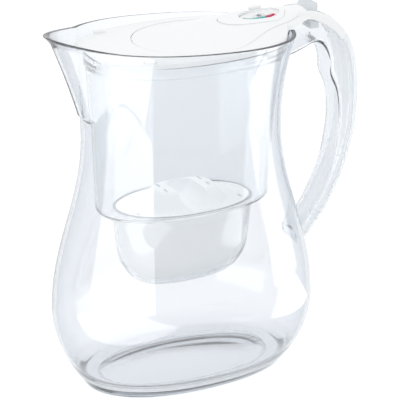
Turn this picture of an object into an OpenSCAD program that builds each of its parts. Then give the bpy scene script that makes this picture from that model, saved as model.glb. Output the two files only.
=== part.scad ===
// Water filter pitcher with a flip lid: a clear jug with a hollow handle, a lift-out reservoir
// that holds a filter cartridge, and a lid with a flip door and a filter gauge.
// X runs from the spout (minus) to the handle (plus), Z is up, and the origin is the middle of
// the foot.

/* [Jug] */
// Height of the rim over the middle of the foot
rim_h = 262; // [250:1:275]
// Half length of the foot
foot_half_l = 79; // [72:0.5:84]
// Half width of the foot
foot_half_w = 47; // [42:0.5:52]
// Height of the widest part of the belly
bulge_h = 55; // [45:1:65]
// Half length of the belly
bulge_half_l = 100.5; // [94:0.5:106]
// Half width of the belly
bulge_half_w = 74; // [66:0.5:80]
// Height of the waist
waist_h = 191; // [180:1:200]
// Half length of the waist
waist_half_l = 76.6; // [75:0.1:80]
// Half width of the waist
waist_half_w = 50; // [48:0.1:54]
// Half length of the rim, without the spout
rim_half_l = 87.3; // [85:0.1:90]
// Half width of the rim
rim_half_w = 58; // [56:0.1:62]
// How much lower the rim lies for each millimetre towards the handle
rim_slope = 0.06; // [0.03:0.005:0.07]
// Squareness of the jug's oval section, where 2 is an ellipse
jug_square = 2.25; // [2:0.05:2.6]
// Thickness of the jug's wall
wall = 3.2; // [2.4:0.1:3.6]
// Thickness of the jug's floor
floor_t = 3.6; // [2.5:0.1:5]
// Depth of the hollow under the foot
foot_hollow_h = 4.4; // [2:0.1:6]
// Width of the foot ring that the jug stands on
foot_ring_w = 10; // [6:0.5:14]

/* [Spout] */
// How far the spout's tip stands out past the rim's oval
spout_out = 21.4; // [14:0.1:26]
// Height at which the spout's keel starts
spout_start_h = 206; // [200:1:215]
// Depth of the keel where it starts
keel_out = 4; // [2:0.1:6]
// Half width of the spout at the rim
spout_half_w = 40; // [34:0.5:44]
// Half width of the keel where it starts
keel_half_w = 12; // [8:0.5:16]
// How far the tip rises over the line of the rim
tip_rise = 6; // [2:0.1:8]

/* [Handle] */
// Distance from the jug's middle to the back of the handle
handle_reach = 144.2; // [138:0.1:152]
// Height of the handle's top over the rim
crest_over_rim = 7.6; // [6:0.1:12]
// Height at which the handle's lower end meets the jug
root_h = 88; // [80:1:96]
// Width of the handle
handle_w = 24.6; // [22:0.2:28]
// Thickness of the handle channel's walls
channel_wall = 2.6; // [2:0.1:3]
// Thickness of the handle's back strip at its upper end
strip_top_t = 5.6; // [5:0.1:6]
// Thickness of the handle's back strip at its lower end
strip_root_t = 3.2; // [3:0.1:4]
// Gap at the seam between the lid's tail and the handle's back strip
seam_gap = 0.5; // [0.3:0.1:0.8]

/* [Reservoir] */
// How far the reservoir's top edge lies below the lid's flat top
reservoir_below_lid = 3.6; // [3:0.1:6]
// Height of the band round the reservoir's top
band_h = 8.4; // [6:0.1:9]
// Height of the reservoir's floor
reservoir_floor_h = 136; // [130:0.5:142]
// Half length of the reservoir's floor
hopper_floor_half_l = 67.5; // [64:0.5:70]
// Half width of the reservoir's floor
hopper_floor_half_w = 39.5; // [37:0.5:42]
// Distance from the jug's middle to the reservoir's front at the top
reservoir_front = 72.6; // [70:0.1:75]
// Thickness of the reservoir's walls
reservoir_wall = 2; // [1.6:0.1:2.4]
// Height of the underside of the cartridge cup
cup_base_h = 73; // [68:0.5:80]

/* [Cartridge] */
// Half length of the cartridge's cap
cap_half_l = 51.4; // [48:0.1:53]
// Half width of the cartridge's cap
cap_half_w = 32.2; // [30:0.1:34]
// Height of the cap's band
cap_band_h = 9; // [7:0.1:11]
// Distance between the cap's two ridges
ridge_gap = 34; // [30:0.5:38]
// Height of the ridges over the cap
ridge_h = 11.5; // [8:0.1:13]
// Length of the ridges
ridge_l = 25; // [20:0.5:30]
// Radius of the finger trough between the ridges
trough_r = 10.5; // [8:0.1:11]
// Thickness of the cartridge's walls
cartridge_wall = 1.5; // [1:0.1:2]

/* [Lid] */
// How far the lid's flat top lies below the rim
lid_below_rim = 4; // [3:0.1:5]
// Thickness of the lid and of the flip door
lid_t = 2.2; // [1.8:0.1:2.6]
// Gap between the lid's edge and the jug's inside
lid_gap = 0.7; // [0.5:0.1:1]
// Distance from the jug's middle to the lid's straight front edge
lid_front = 71; // [66:0.5:74]
// Half width of the raised crown along the lid
crown_half_w = 42; // [38:0.5:45]
// Half width of the raised crown at the handle
crown_neck_half_w = 21; // [18:0.5:24]

/* [Flip door] */
// Distance from the jug's middle to the door's front edge
door_front = 36; // [30:0.5:42]
// Place of the door's widest part along X
door_wide_x = 12; // [6:0.5:18]
// Half width of the door
door_half_w = 42.5; // [38:0.5:44]
// Half width of the door's neck over the handle
neck_half_w = 10.2; // [9:0.1:11]
// Distance from the door's end to the hinge
door_end_gap = 6; // [5:0.5:8]
// Gap round the flip door
door_gap = 0.5; // [0.3:0.05:0.8]
// Depth of the lip round the door's underside
door_lip_h = 3.4; // [2:0.1:4]
// Distance from the back of the handle to the hinge
hinge_in = 39.2; // [38.2:0.1:40.2]
// Height of the hinge over the lid's flat top
hinge_over_lid = 2.4; // [1.6:0.1:3]
// Radius of the hinge pin
pin_r = 1.5; // [1.2:0.05:1.8]
// Running gap round the hinge pin
pin_gap = 0.05; // [0.03:0.01:0.09]
// Radius of the thumb lever's barrel
barrel_r = 4.2; // [3.6:0.1:4.4]
// Width of the thumb lever
lever_w = 14; // [12:0.2:15]
// Height of the thumb tab over the hinge
tab_h = 12.6; // [10:0.1:13]

/* [Filter gauge] */
// Place of the gauge's middle along X
gauge_x = 57; // [54:0.5:60]
// Half length of the gauge's plate
gauge_half_l = 26; // [24:0.1:27]
// Half width of the gauge's plate
gauge_half_w = 16.5; // [15:0.1:17]
// Tilt of the gauge, in degrees
gauge_tilt = 5; // [3:0.5:7]
// Depth of the gauge's housing
gauge_h = 9.2; // [9:0.1:10]
// How far the gauge's plate stands over the door
gauge_proud = 0.7; // [0.4:0.1:1]
// Half length of the gauge's window
window_half_l = 16; // [14:0.1:17]
// Half width of the gauge's window
window_half_w = 10; // [9:0.1:10.5]
// Half length of the reset button
button_half_l = 5; // [4:0.1:5.5]
// Half width of the reset button
button_half_w = 2.6; // [2.2:0.1:2.7]
// Travel of the reset button
button_travel = 0.8; // [0.5:0.1:1]
// Running gap round the reset button
button_gap = 0.3; // [0.2:0.05:0.4]

/* [Hidden] */

$fn = 48;
around = 56;      // points round the jug's and the reservoir's sections
around_small = 44; // points round the cartridge's sections
slack = 0.3;      // gap between pieces that lie next to each other
eps = 0.01;
crest_h = rim_h + crest_over_rim;
lid_h = rim_h - lid_below_rim;
reservoir_top_h = lid_h - reservoir_below_lid;
hinge_x = handle_reach - hinge_in;
hinge_z = lid_h + hinge_over_lid;
door_end = hinge_x - door_end_gap;

// ---- shapes by rule ----

function sgn(v) = v < 0 ? -1 : 1;
function mix(a, b, t) = a + (b - a) * t;
function unit(v) = v / norm(v);
function step01(t) = t <= 0 ? 0 : t >= 1 ? 1 : t * t * (3 - 2 * t);
function wave(t) = t <= 0 ? 1 : t >= 1 ? 0 : (1 + cos(180 * t)) / 2;

// A point of an oval at angle a, with its own half length to the front and to the back
function oval_pt(a, front, back, half_w, square = 2.25) =
  [(cos(a) < 0 ? -front : back) * pow(abs(cos(a)), 2 / square),
   sgn(sin(a)) * half_w * pow(abs(sin(a)), 2 / square)];

function oval(half_l, half_w, n = 48, square = 2.25) =
  [for (i = [0:n - 1]) oval_pt(360 * i / n, half_l, half_l, half_w, square)];

// One section at height z
function oval_ring(z, front, back, half_w, n, square = 2.25) =
  [for (i = [0:n - 1]) let (p = oval_pt(360 * i / n, front, back, half_w, square)) [p.x, p.y, z]];

// A smooth curve through knots, with k steps from one to the next
function curve_pt(p, i, t) =
  let (n = len(p), a = p[max(0, i - 1)], b = p[i], c = p[min(n - 1, i + 1)], d = p[min(n - 1, i + 2)])
  0.5 * (2 * b + (c - a) * t + (2 * a - 5 * b + 4 * c - d) * t * t
    + (3 * b - a - 3 * c + d) * t * t * t);
function curve(p, k) =
  [for (i = [0:len(p) - 2]) for (j = [0:k - 1]) curve_pt(p, i, j / k), p[len(p) - 1]];

// A closed solid whose skin runs from ring to ring, shut with a flat face at each end
module skin(rings) {
  n = len(rings[0]);
  m = len(rings);
  points = [for (r = rings) each r];
  sides = [for (i = [0:m - 2]) for (j = [0:n - 1])
    let (a = i * n + j, b = i * n + (j + 1) % n, c = b + n, d = a + n)
    each [[a, c, b], [a, d, c]]];
  ends = [[for (j = [0:n - 1]) j], [for (j = [0:n - 1]) (m - 1) * n + n - 1 - j]];
  polyhedron(points, concat(sides, ends), convexity = 8);
}

// Joins freely curved solids into one mesh at their own size
module as_one() {
  resize([0, 0, 0]) children();
}

// ---- jug ----

function jug_half(z, foot, bulge, waist, rim) =
  z <= bulge_h ? foot + (bulge - foot) * (1 - pow(1 - z / bulge_h, 2))
  : z <= waist_h ? mix(waist, bulge, wave((z - bulge_h) / (waist_h - bulge_h)))
  : mix(waist, rim, pow((z - waist_h) / (rim_h - waist_h), 2));
function jug_half_l(z) = jug_half(z, foot_half_l, bulge_half_l, waist_half_l, rim_half_l);
function jug_half_w(z) = jug_half(z, foot_half_w, bulge_half_w, waist_half_w, rim_half_w);

tip_x = -rim_half_l - spout_out;
rise_x = -0.75 * rim_half_l;   // the rim starts to rise towards the tip here
lip_h = 6;                     // the spout's lip flares over this height
lip_out = 4;
function rim_z(x) =
  rim_h - rim_slope * x + tip_rise * pow(max(0, (x - rise_x) / (tip_x - rise_x)), 1.3);
function spout_depth(z) =
  step01((z - spout_start_h) / 5)
  * (mix(keel_out, spout_out - lip_out, (z - spout_start_h) / (rim_h - spout_start_h))
    + lip_out * pow(max(0, (z - rim_h + lip_h) / lip_h), 2));
function spout_half(z) =
  mix(keel_half_w, spout_half_w,
    pow(max(0, (z - spout_start_h) / (rim_h - spout_start_h)), 0.7));

// A point of the jug's skin, inset from its outside
function jug_pt(z, a, inset) =
  let (
    p = oval_pt(a, jug_half_l(z) - inset, jug_half_l(z) - inset, jug_half_w(z) - inset, jug_square),
    u = min(1, abs(p.y) / (spout_half(z) - inset)),
    x = p.x - (p.x < 0 && z > spout_start_h ? spout_depth(z) * pow(1 - pow(u, 1.4), 1.2) : 0)
  )
  [x, p.y, z <= waist_h ? z : waist_h + (z - waist_h) * (rim_z(x) - waist_h) / (rim_h - waist_h)];
function jug_ring(z, inset) = [for (i = [0:around - 1]) jug_pt(z, 360 * i / around, inset)];

jug_floor_h = foot_hollow_h + floor_t;
edge_r = 1.2;   // rounding of the rim and of the foot
foot_trim = 0.3; // what is cut off the foot ring to make it flat
outer_levels = [4, 9, 16, 25, 36, 48, 60, 74, 90, 106, 122, 140, 158, 176, 192, 204, 208, 212,
  218, 226, 235, 244, 251];
levels_for = 262; // the rim's height for which the levels above are spaced
function fits(z) = z * rim_h / levels_for;

module jug_shell() {
  foot_hollow = [foot_half_l - foot_ring_w, foot_half_w - foot_ring_w];
  skin([
    oval_ring(foot_hollow_h, foot_hollow.x - 2, foot_hollow.x - 2, foot_hollow.y - 2, around),
    oval_ring(-foot_trim, foot_hollow.x, foot_hollow.x, foot_hollow.y, around),
    oval_ring(-foot_trim, foot_half_l - edge_r, foot_half_l - edge_r, foot_half_w - edge_r, around),
    jug_ring(edge_r, 0),
    for (z = outer_levels) jug_ring(fits(z), 0),
    jug_ring(rim_h - lip_h / 2, 0),
    jug_ring(rim_h - edge_r, 0),
    jug_ring(rim_h - edge_r / 4, edge_r / 4),
    jug_ring(rim_h, edge_r),
    jug_ring(rim_h, wall - edge_r),
    jug_ring(rim_h - edge_r, wall),
    jug_ring(rim_h - lip_h / 2, wall),
    for (i = [len(outer_levels) - 1:-1:2]) jug_ring(fits(outer_levels[i]), wall),
    jug_ring(jug_floor_h + 3.4, wall + 1.6),
    jug_ring(jug_floor_h + 1.2, wall + 5),
    [for (p = jug_ring(jug_floor_h, wall + 10)) [p.x, p.y, jug_floor_h]]
  ]);
}

// The jug's outer form, inset or let out, as one solid
module jug_core(inset) {
  skin([
    for (z = outer_levels) jug_ring(fits(z), inset),
    jug_ring(rim_h - edge_r, inset)
  ]);
}

// ---- handle ----

// Back of the handle, from the neck over the top and down to the root
handle_back = [
  [rim_half_l - 16, crest_h + 0.2],
  [mix(rim_half_l, handle_reach - 31, 0.46), crest_h - 0.6],
  [handle_reach - 31, crest_h - 5.4],
  [handle_reach - 21, crest_h - 11.6],
  [handle_reach - 13, crest_h - 19.6],
  [handle_reach - 6.4, crest_h - 31],
  [handle_reach - 2, crest_h - 46],
  [handle_reach, crest_h - 64],
  [handle_reach - 0.2, crest_h - 82],
  [handle_reach - 2.6, root_h + 78],
  [handle_reach - 11, root_h + 51],
  [handle_reach - 26, root_h + 22],
  [jug_half_l(root_h) + 2, root_h - 1],
  [jug_half_l(root_h) - 8, root_h - 12]
];
// Finger side of the handle, knot for knot, with the rise under the first finger
handle_grip = [
  [rim_half_l - 12, crest_h - 38],
  [mix(rim_half_l, handle_reach - 33.6, 0.3), crest_h - 31.6],
  [mix(rim_half_l, handle_reach - 33.6, 0.69), crest_h - 28],
  [handle_reach - 33.6, crest_h - 28.4],
  [handle_reach - 28, crest_h - 34],
  [handle_reach - 24.6, crest_h - 43],
  [handle_reach - 23.6, crest_h - 54.6],
  [handle_reach - 18.4, crest_h - 66.6],
  [handle_reach - 16, crest_h - 83],
  [handle_reach - 17, root_h + 80],
  [handle_reach - 22, root_h + 55.6],
  [handle_reach - 35, root_h + 28],
  [jug_half_l(root_h) - 6, root_h + 5],
  [jug_half_l(root_h) - 14, root_h - 6]
];
handle_steps = 3;
back_path = curve(handle_back, handle_steps);
grip_path = curve(handle_grip, handle_steps);
path_end = len(back_path) - 1;
seam_i = 13;      // the lid's tail ends at this point of the path
tail_skirt = 7.2; // depth of the sides of the lid's tail

function handle_depth(i) = norm(back_path[i] - grip_path[i]);
function strip_t(i) = mix(strip_top_t, strip_root_t, (i - seam_i) / (path_end - seam_i));

// Section of a bar in its own plane: y across, m out from the finger side
function bar_section(half_w, m0, m1, r0, r1, k = 3) = [
  for (j = [0:k]) [half_w - r0 + r0 * sin(90 * j / k), m0 + r0 - r0 * cos(90 * j / k)],
  for (j = [0:k]) [half_w - r1 + r1 * cos(90 * j / k), m1 - r1 + r1 * sin(90 * j / k)],
  for (j = [0:k]) [-half_w + r1 - r1 * sin(90 * j / k), m1 - r1 + r1 * cos(90 * j / k)],
  for (j = [0:k]) [-half_w + r0 - r0 * cos(90 * j / k), m0 + r0 - r0 * sin(90 * j / k)]
];
function handle_ring(i, section) =
  let (g = grip_path[i], n = unit(back_path[i] - g))
  [for (s = section) [g.x + n.x * s.y, s.x, g.y + n.y * s.y]];

grip_r = 6;   // rounding of the handle's finger side
back_r = 3.6; // rounding of the handle's back
module handle_channel() {
  half_w = handle_w / 2;
  difference() {
    skin([for (i = [0:path_end])
      handle_ring(i, bar_section(half_w, 0,
        handle_depth(i) - slack - (i <= seam_i ? tail_skirt : strip_t(i)),
        grip_r * (i > 9 ? 0.7 : 1), 0.3))]);
    skin([for (i = [0:path_end])
      handle_ring(i, bar_section(half_w - channel_wall, channel_wall, handle_depth(i), 2, 0.3))]);
    jug_core(wall / 2);
    translate([0, 0, waist_h]) linear_extrude(crest_h - waist_h)
      polygon(oval(rim_half_l - wall / 2, rim_half_w - wall / 2, around, jug_square));
  }
}

module jug() {
  color([0.80, 0.86, 0.92, 0.45]) difference() {
    as_one() {
      jug_shell();
      handle_channel();
    }
    // the foot ring stands on a flat face at the height 0
    translate([-foot_half_l, -foot_half_w, -floor_t]) cube([2 * foot_half_l, 2 * foot_half_w, floor_t]);
  }
}

module handle_back_strip() {
  half_w = handle_w / 2;
  rail = 1.6;
  rail_h = 3;
  tongue = half_w - channel_wall - slack;
  color([0.95, 0.96, 0.97, 0.9]) as_one() difference() {
    union() {
      skin([for (i = [seam_i:path_end])
        handle_ring(i, bar_section(half_w, handle_depth(i) - strip_t(i), handle_depth(i), 0.3,
          min(back_r, strip_t(i) - 0.6)))]);
      skin([for (i = [seam_i:path_end])
        handle_ring(i, bar_section(tongue, handle_depth(i) - strip_t(i) - rail_h,
          handle_depth(i) - strip_t(i) + 1, 0.3, 0.3))]);
    }
    skin([for (i = [seam_i:path_end])
      handle_ring(i, bar_section(tongue - rail, handle_depth(i) - strip_t(i) - rail_h - 1,
        handle_depth(i) - strip_t(i) + 0.6, 0.3, 0.3))]);
    jug_core(-slack);
    seam_block(seam_gap / 2 - seam_gap);
  }
}

// ---- reservoir ----

hopper_top_h = reservoir_top_h - band_h;
hopper_gap = 2.8;  // gap between the hopper and the jug under the band
band_t = 2.2;
function inner_l(z) = jug_half_l(z) - wall;
function inner_w(z) = jug_half_w(z) - wall;
function hopper_share(z) =
  pow((z - reservoir_floor_h) / (hopper_top_h - reservoir_floor_h), 1.6);
function hopper_ring(z, inset) =
  let (s = hopper_share(z))
  oval_ring(z,
    mix(hopper_floor_half_l, reservoir_front - 1.4, s) - inset,
    mix(hopper_floor_half_l, inner_l(hopper_top_h) - hopper_gap, s) - inset,
    mix(hopper_floor_half_w, inner_w(hopper_top_h) - hopper_gap / 2, s) - inset,
    around, jug_square);
function band_ring(z, inset) =
  oval_ring(z, reservoir_front - inset, inner_l(z) - slack - inset, inner_w(z) - slack - inset,
    around, jug_square);

cup_gap = 1.4;    // gap between the cartridge's body and its cup
mouth_gap = 0.6;  // gap between the cartridge's cap and the cup's mouth
mouth_half_l = cap_half_l + mouth_gap;
mouth_half_w = cap_half_w + mouth_gap;
// The cup's form from its mouth down, as [share of the height, share of the half length drawn in]
cup_form = [[1, 0], [0.8, 0.3], [0.4, 3.2], [0.22, 7.4], [0.09, 14], [0.02, 22]];
cup_h = reservoir_floor_h - cup_base_h;
cup_floor_h = cup_base_h + reservoir_wall + cup_form[5][0] * (cup_h - reservoir_wall);
function cup_ring(i, inset, lift = 0) =
  oval_ring(cup_base_h + lift + cup_form[i][0] * (cup_h - lift),
    mouth_half_l + reservoir_wall - cup_form[i][1] - inset,
    mouth_half_l + reservoir_wall - cup_form[i][1] - inset,
    mouth_half_w + reservoir_wall - cup_form[i][1] - inset, around, 2.15);

module reservoir() {
  t = reservoir_wall;
  color([0.84, 0.89, 0.93, 0.5]) as_one() difference() {
    skin([
      oval_ring(cup_base_h, mouth_half_l - 24, mouth_half_l - 24, mouth_half_w - 24, around),
      cup_ring(5, 0),
      cup_ring(4, 0),
      cup_ring(3, 0),
      cup_ring(2, 0),
      cup_ring(1, 0),
      [for (p = cup_ring(0, 0)) [p.x, p.y, reservoir_floor_h - t]],
      [for (p = hopper_ring(reservoir_floor_h, 1.2)) [p.x, p.y, reservoir_floor_h - t]],
      for (i = [0.2:7]) hopper_ring(mix(reservoir_floor_h, hopper_top_h, i / 7), 0),
      hopper_ring(hopper_top_h - 0.4, 0),
      band_ring(hopper_top_h, 0),
      band_ring(reservoir_top_h, 0),
      band_ring(reservoir_top_h, band_t),
      band_ring(hopper_top_h + t, band_t),
      hopper_ring(hopper_top_h, t),
      for (i = [6:-1:1]) hopper_ring(mix(reservoir_floor_h, hopper_top_h, i / 7), t),
      hopper_ring(reservoir_floor_h + 1.6, t + 0.4),
      hopper_ring(reservoir_floor_h, t + 2),
      cup_ring(0, t),
      cup_ring(1, t),
      cup_ring(2, t, t),
      cup_ring(3, t, t),
      cup_ring(4, t, t),
      cup_ring(5, t + 1, t)
    ]);
    for (x = [-20:10:20])
      translate([x, 0, cup_base_h - 1]) cylinder(r = 2.6, h = reservoir_wall + 4, $fn = 16);
  }
}

// ---- cartridge ----

cap_top_h = reservoir_floor_h - 0.4;
cap_base_h = cap_top_h - cap_band_h;
shell_gap = reservoir_wall + cup_gap;
shell_base_h = cup_floor_h + slack;
function shell_z(i, lift) =
  shell_base_h + lift + cup_form[i][0] * (cap_base_h - shell_base_h - lift);
function shell_ring(i, inset, lift = 0) =
  oval_ring(shell_z(i, lift),
    mouth_half_l + reservoir_wall - cup_form[i][1] - shell_gap - inset,
    mouth_half_l + reservoir_wall - cup_form[i][1] - shell_gap - inset,
    mouth_half_w + reservoir_wall - cup_form[i][1] - shell_gap - inset, around_small, 2.15);

module cap_vents() {
  vent = [1.8, 6.5, 4];
  for (x = [-1, 1]) for (y = [-1, 1])
    translate([x * ridge_gap / 2 - vent.x / 2, y * ridge_l / 4 - vent.y / 2,
      cap_top_h + ridge_h - vent.z + 1]) cube(vent);
  for (x = [-1, 1])
    translate([x * (cap_half_l - 10) - vent.x / 2, -cap_half_w / 3 - vent.y / 2,
      cap_top_h - 3 * cartridge_wall]) cube([vent.x, vent.y, 5 * cartridge_wall]);
}

module cartridge_cap() {
  lip = 2.2;
  plate_h = cap_top_h - 1.2;
  color([0.97, 0.97, 0.98]) difference() {
    union() {
      difference() {
        translate([0, 0, cap_base_h]) linear_extrude(cap_band_h)
          polygon(oval(cap_half_l, cap_half_w, around_small, 2.15));
        translate([0, 0, plate_h]) linear_extrude(cap_band_h)
          polygon(oval(cap_half_l - lip, cap_half_w - lip, around_small, 2.15));
        translate([0, 0, cap_base_h - 1]) linear_extrude(cap_band_h + 1 - 1.2 - 2 * cartridge_wall)
          polygon(oval(cap_half_l - cartridge_wall, cap_half_w - cartridge_wall, around_small, 2.15));
      }
      hull() {
        translate([0, 0, plate_h - eps]) linear_extrude(1)
          polygon(oval(ridge_gap / 2 + 15, cap_half_w - 8, 32));
        for (x = [-1, 1])
          translate([x * ridge_gap / 2, 0, cap_top_h + ridge_h - 1.5]) linear_extrude(1.5)
            polygon(oval(4.4, ridge_l / 2, 24, 2.6));
      }
    }
    translate([0, ridge_l / 4, cap_top_h + ridge_h]) rotate([96, 0, 0])
      cylinder(r = trough_r, h = cap_half_w + ridge_l, $fn = 48);
    cap_vents();
  }
}

module cartridge_shell() {
  t = cartridge_wall;
  color([0.90, 0.92, 0.94, 0.7]) as_one() difference() {
    skin([
      oval_ring(shell_base_h, mouth_half_l - 26, mouth_half_l - 26, mouth_half_w - 26, around_small),
      for (i = [5:-1:0]) shell_ring(i, 0),
      for (i = [0:4]) shell_ring(i, t, i == 0 ? 0 : t),
      shell_ring(5, t + 0.6, t)
    ]);
    for (x = [-18:9:18])
      translate([x, 0, cup_base_h]) cylinder(r = 2, h = 12, $fn = 16);
  }
}

screen_base_h = shell_z(5, cartridge_wall) + slack;
base_screen_t = 0.8;
media_base_h = screen_base_h + base_screen_t + slack;
media_top_h = cap_base_h - 5;
module cartridge_media() {
  t = cartridge_wall + slack;
  color([0.25, 0.25, 0.27]) as_one() intersection() {
    skin([
      oval_ring(media_base_h, mouth_half_l - 30, mouth_half_l - 30, mouth_half_w - 27, around_small),
      shell_ring(4, t + 0.8, 3),
      shell_ring(3, t + 0.6, 3),
      shell_ring(2, t + 0.4, 2),
      shell_ring(1, t + 0.2),
      shell_ring(0, t)
    ]);
    translate([-100, -100, 0]) cube([200, 200, media_top_h]);
  }
}

// A thin plate with a grid of holes
module screen(half_l, half_w, t, hole_r, pitch) {
  difference() {
    linear_extrude(t) polygon(oval(half_l, half_w, around_small, 2.15));
    for (x = [-floor(half_l * 0.8 / pitch):floor(half_l * 0.8 / pitch)])
      for (y = [-floor(half_w * 0.7 / pitch):floor(half_w * 0.7 / pitch)])
        if (pow(x * pitch / (half_l - pitch), 2) + pow(y * pitch / (half_w - pitch), 2) < 1)
          translate([x * pitch, y * pitch, -1]) cylinder(r = hole_r, h = t + 2);
  }
}

module cartridge_top_screen() {
  inset = shell_gap + cartridge_wall + slack + 0.4 - reservoir_wall;
  screen_t = 1;
  hole_r = 2;
  pitch = 9;
  color([0.93, 0.93, 0.94]) translate([0, 0, media_top_h + slack])
    screen(mouth_half_l - inset, mouth_half_w - inset, screen_t, hole_r, pitch);
}

module cartridge_base_screen() {
  inset = [28, 26.4];
  hole_r = 1.2;
  pitch = 6;
  color([0.93, 0.93, 0.94]) translate([0, 0, screen_base_h])
    screen(mouth_half_l - inset.x, mouth_half_w - inset.y, base_screen_t, hole_r, pitch);
}

// ---- lid ----

crown_start_x = -42;  // the crown starts to rise here,
crown_full_x = 84;    // and has its full height here
crown_draw_x = 45;    // it starts to draw in towards the handle here
// Height of the crown's ridge over the lid's flat top
function crown_rise(x) =
  (crest_h - lid_h) * pow(step01((x - crown_start_x) / (crown_full_x - crown_start_x)), 0.85);
// Half width of the crown, which draws in towards the handle
function crown_half(x) =
  mix(crown_half_w, crown_neck_half_w, step01((x - crown_draw_x) / (rim_half_l - crown_draw_x - 1)));
function crown_z(x, y) =
  lid_h + crown_rise(x) * pow(1 - pow(min(1, abs(y) / crown_half(x)), 2.8), 2);

crown_xs = [-110, crown_start_x, for (x = [-34:7:92]) x, rim_half_l + 12, rim_half_l + 20];
crown_us = [for (k = [-8:8]) k / 8];
// Everything under the crown's surface, lowered by drop, down to the height low
module under_crown(drop, low) {
  nx = len(crown_xs);
  ny = len(crown_us) + 2;
  function row(x) = [-90, for (u = crown_us) u * crown_half(x), 90];
  points = [
    for (x = crown_xs) for (y = row(x)) [x, y, crown_z(x, y) - drop],
    for (x = crown_xs) for (y = row(x)) [x, y, low]
  ];
  base = nx * ny;
  top = [for (i = [0:nx - 2]) for (j = [0:ny - 2])
    let (a = i * ny + j, b = a + ny) each [[a, a + 1, b + 1], [a, b + 1, b]]];
  bottom = [for (t = top) [t[2] + base, t[1] + base, t[0] + base]];
  edge = [
    for (j = [0:ny - 1]) j,
    for (i = [1:nx - 1]) i * ny + ny - 1,
    for (j = [ny - 2:-1:0]) (nx - 1) * ny + j,
    for (i = [nx - 2:-1:0]) i * ny
  ];
  sides = [for (k = [0:len(edge) - 2]) let (a = edge[k], b = edge[k + 1])
    each [[b, a, a + base], [b, a + base, b + base]]];
  polyhedron(points, concat(top, bottom, sides), convexity = 6);
}

// Level of the jug's section that passes through height z at x
function jug_level(x, z) = waist_h + (z - waist_h) * (rim_h - waist_h) / (rim_z(x) - waist_h);
lid_level = jug_level(-lid_front, lid_h - lid_t);
lid_half_l = inner_l(lid_level) - lid_gap;
lid_half_w = inner_w(lid_level) - lid_gap;
// Outline of the lid inside the jug's rim
module lid_outline(inset) {
  intersection() {
    polygon(oval(lid_half_l - inset, lid_half_w - inset, around, jug_square));
    translate([-lid_front + inset, -lid_half_w]) square([lid_front + lid_half_l, 2 * lid_half_w]);
  }
}
// Outline of the lid's neck, which carries it over the rim to the handle
neck_out = 17;
neck_l = 25;
module neck_outline() {
  x0 = lid_half_l - 10;
  x1 = rim_half_l - 8;
  side = [
    [x0, neck_out],
    for (k = [0:6]) let (t = k / 6) [x1 + neck_l * t, mix(handle_w / 2 - 0.4, neck_out, wave(t))]
  ];
  polygon(concat(side, [for (i = [len(side) - 1:-1:0]) [side[i].x, -side[i].y]]));
}
function lid_edge_y(x) = lid_half_w * pow(1 - pow(abs(x) / lid_half_l, jug_square), 1 / jug_square);

// Half width of the flip door at x
function door_half(x) =
  x <= door_wide_x
    ? door_half_w * sqrt(max(0, 1 - pow((x - door_wide_x) / (door_front + door_wide_x), 2)))
    : mix(neck_half_w, door_half_w, wave(pow((x - door_wide_x) / (door_end + 5 - door_wide_x), 0.9)));
door_xs = [
  for (a = [0:10:90]) -door_front + (door_front + door_wide_x) * (1 - cos(a)),
  for (k = [1:12]) mix(door_wide_x, door_end - 4, k / 12)
];
// Outline of the door up to end_x, let in or out by a margin
module door_outline(margin, end_x = door_end) {
  side = [for (x = door_xs) [x, door_half(x)], [end_x - margin, neck_half_w]];
  other = [for (i = [len(side) - 1:-1:1]) [side[i].x, -side[i].y]];
  if (margin == 0) polygon(concat(side, other));
  else offset(delta = margin) polygon(concat(side, other));
}

box_end_x = rim_half_l - 11;   // the door's closed box ends here, short of the jug's rim
door_base_h = lid_h - lid_t - door_lip_h;
slot_end_x = hinge_x + 14;   // the tail is open up to here, where the tab swings back

module lid_tail() {
  half_w = handle_w / 2;
  difference() {
    skin([for (i = [0:seam_i])
      handle_ring(i, bar_section(half_w, handle_depth(i) - tail_skirt, handle_depth(i), 0.3, back_r))]);
    skin([for (i = [0:seam_i])
      handle_ring(i, bar_section(half_w - lid_t, handle_depth(i) - tail_skirt - 1,
        handle_depth(i) - lid_t - 0.2, 0.3, 2))]);
  }
}

lid_low = lid_h - 20;           // what is cut or extruded round the lid starts here
lid_tall = crest_h - lid_low + 10; // and is this tall
module lid_frame() {
  skirt_t = 2;
  color([0.93, 0.94, 0.95]) as_one() difference() {
    union() {
      intersection() {
        translate([0, 0, lid_low]) linear_extrude(lid_tall) union() {
          lid_outline(0);
          neck_outline();
        }
        difference() {
          under_crown(0, lid_low);
          under_crown(lid_t, lid_low - 1);
        }
      }
      intersection() {
        translate([0, 0, reservoir_top_h + 0.2]) linear_extrude(lid_tall) difference() {
          lid_outline(0.3);
          lid_outline(0.3 + skirt_t);
        }
        under_crown(1, lid_low);
      }
      lid_tail();
    }
    translate([0, 0, lid_low]) linear_extrude(lid_tall) door_outline(door_gap, slot_end_x);
    seam_block(seam_gap / 2 - 12);
  }
}

// A block across the handle whose face towards the path's seam is set back by the given amount
module seam_block(back) {
  b = back_path[seam_i];
  n = unit(b - grip_path[seam_i]);
  translate([b.x, 0, b.y]) rotate([0, -atan2(n.y, n.x), 0])
    translate([-40, -20, back]) cube([60, 40, 12 - seam_gap]);
}

catch_x = -46;  // place of the catches along X
module lid_catches() {
  lug = [8, 5, 1.6];
  color([0.90, 0.92, 0.93]) for (s = [-1, 1])
    translate([catch_x - lug.x / 2, s * (lid_edge_y(catch_x) - lug.y / 2 - 1) - lug.y / 2, lid_h])
      cube(lug);
}

// ---- hinge ----

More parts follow.
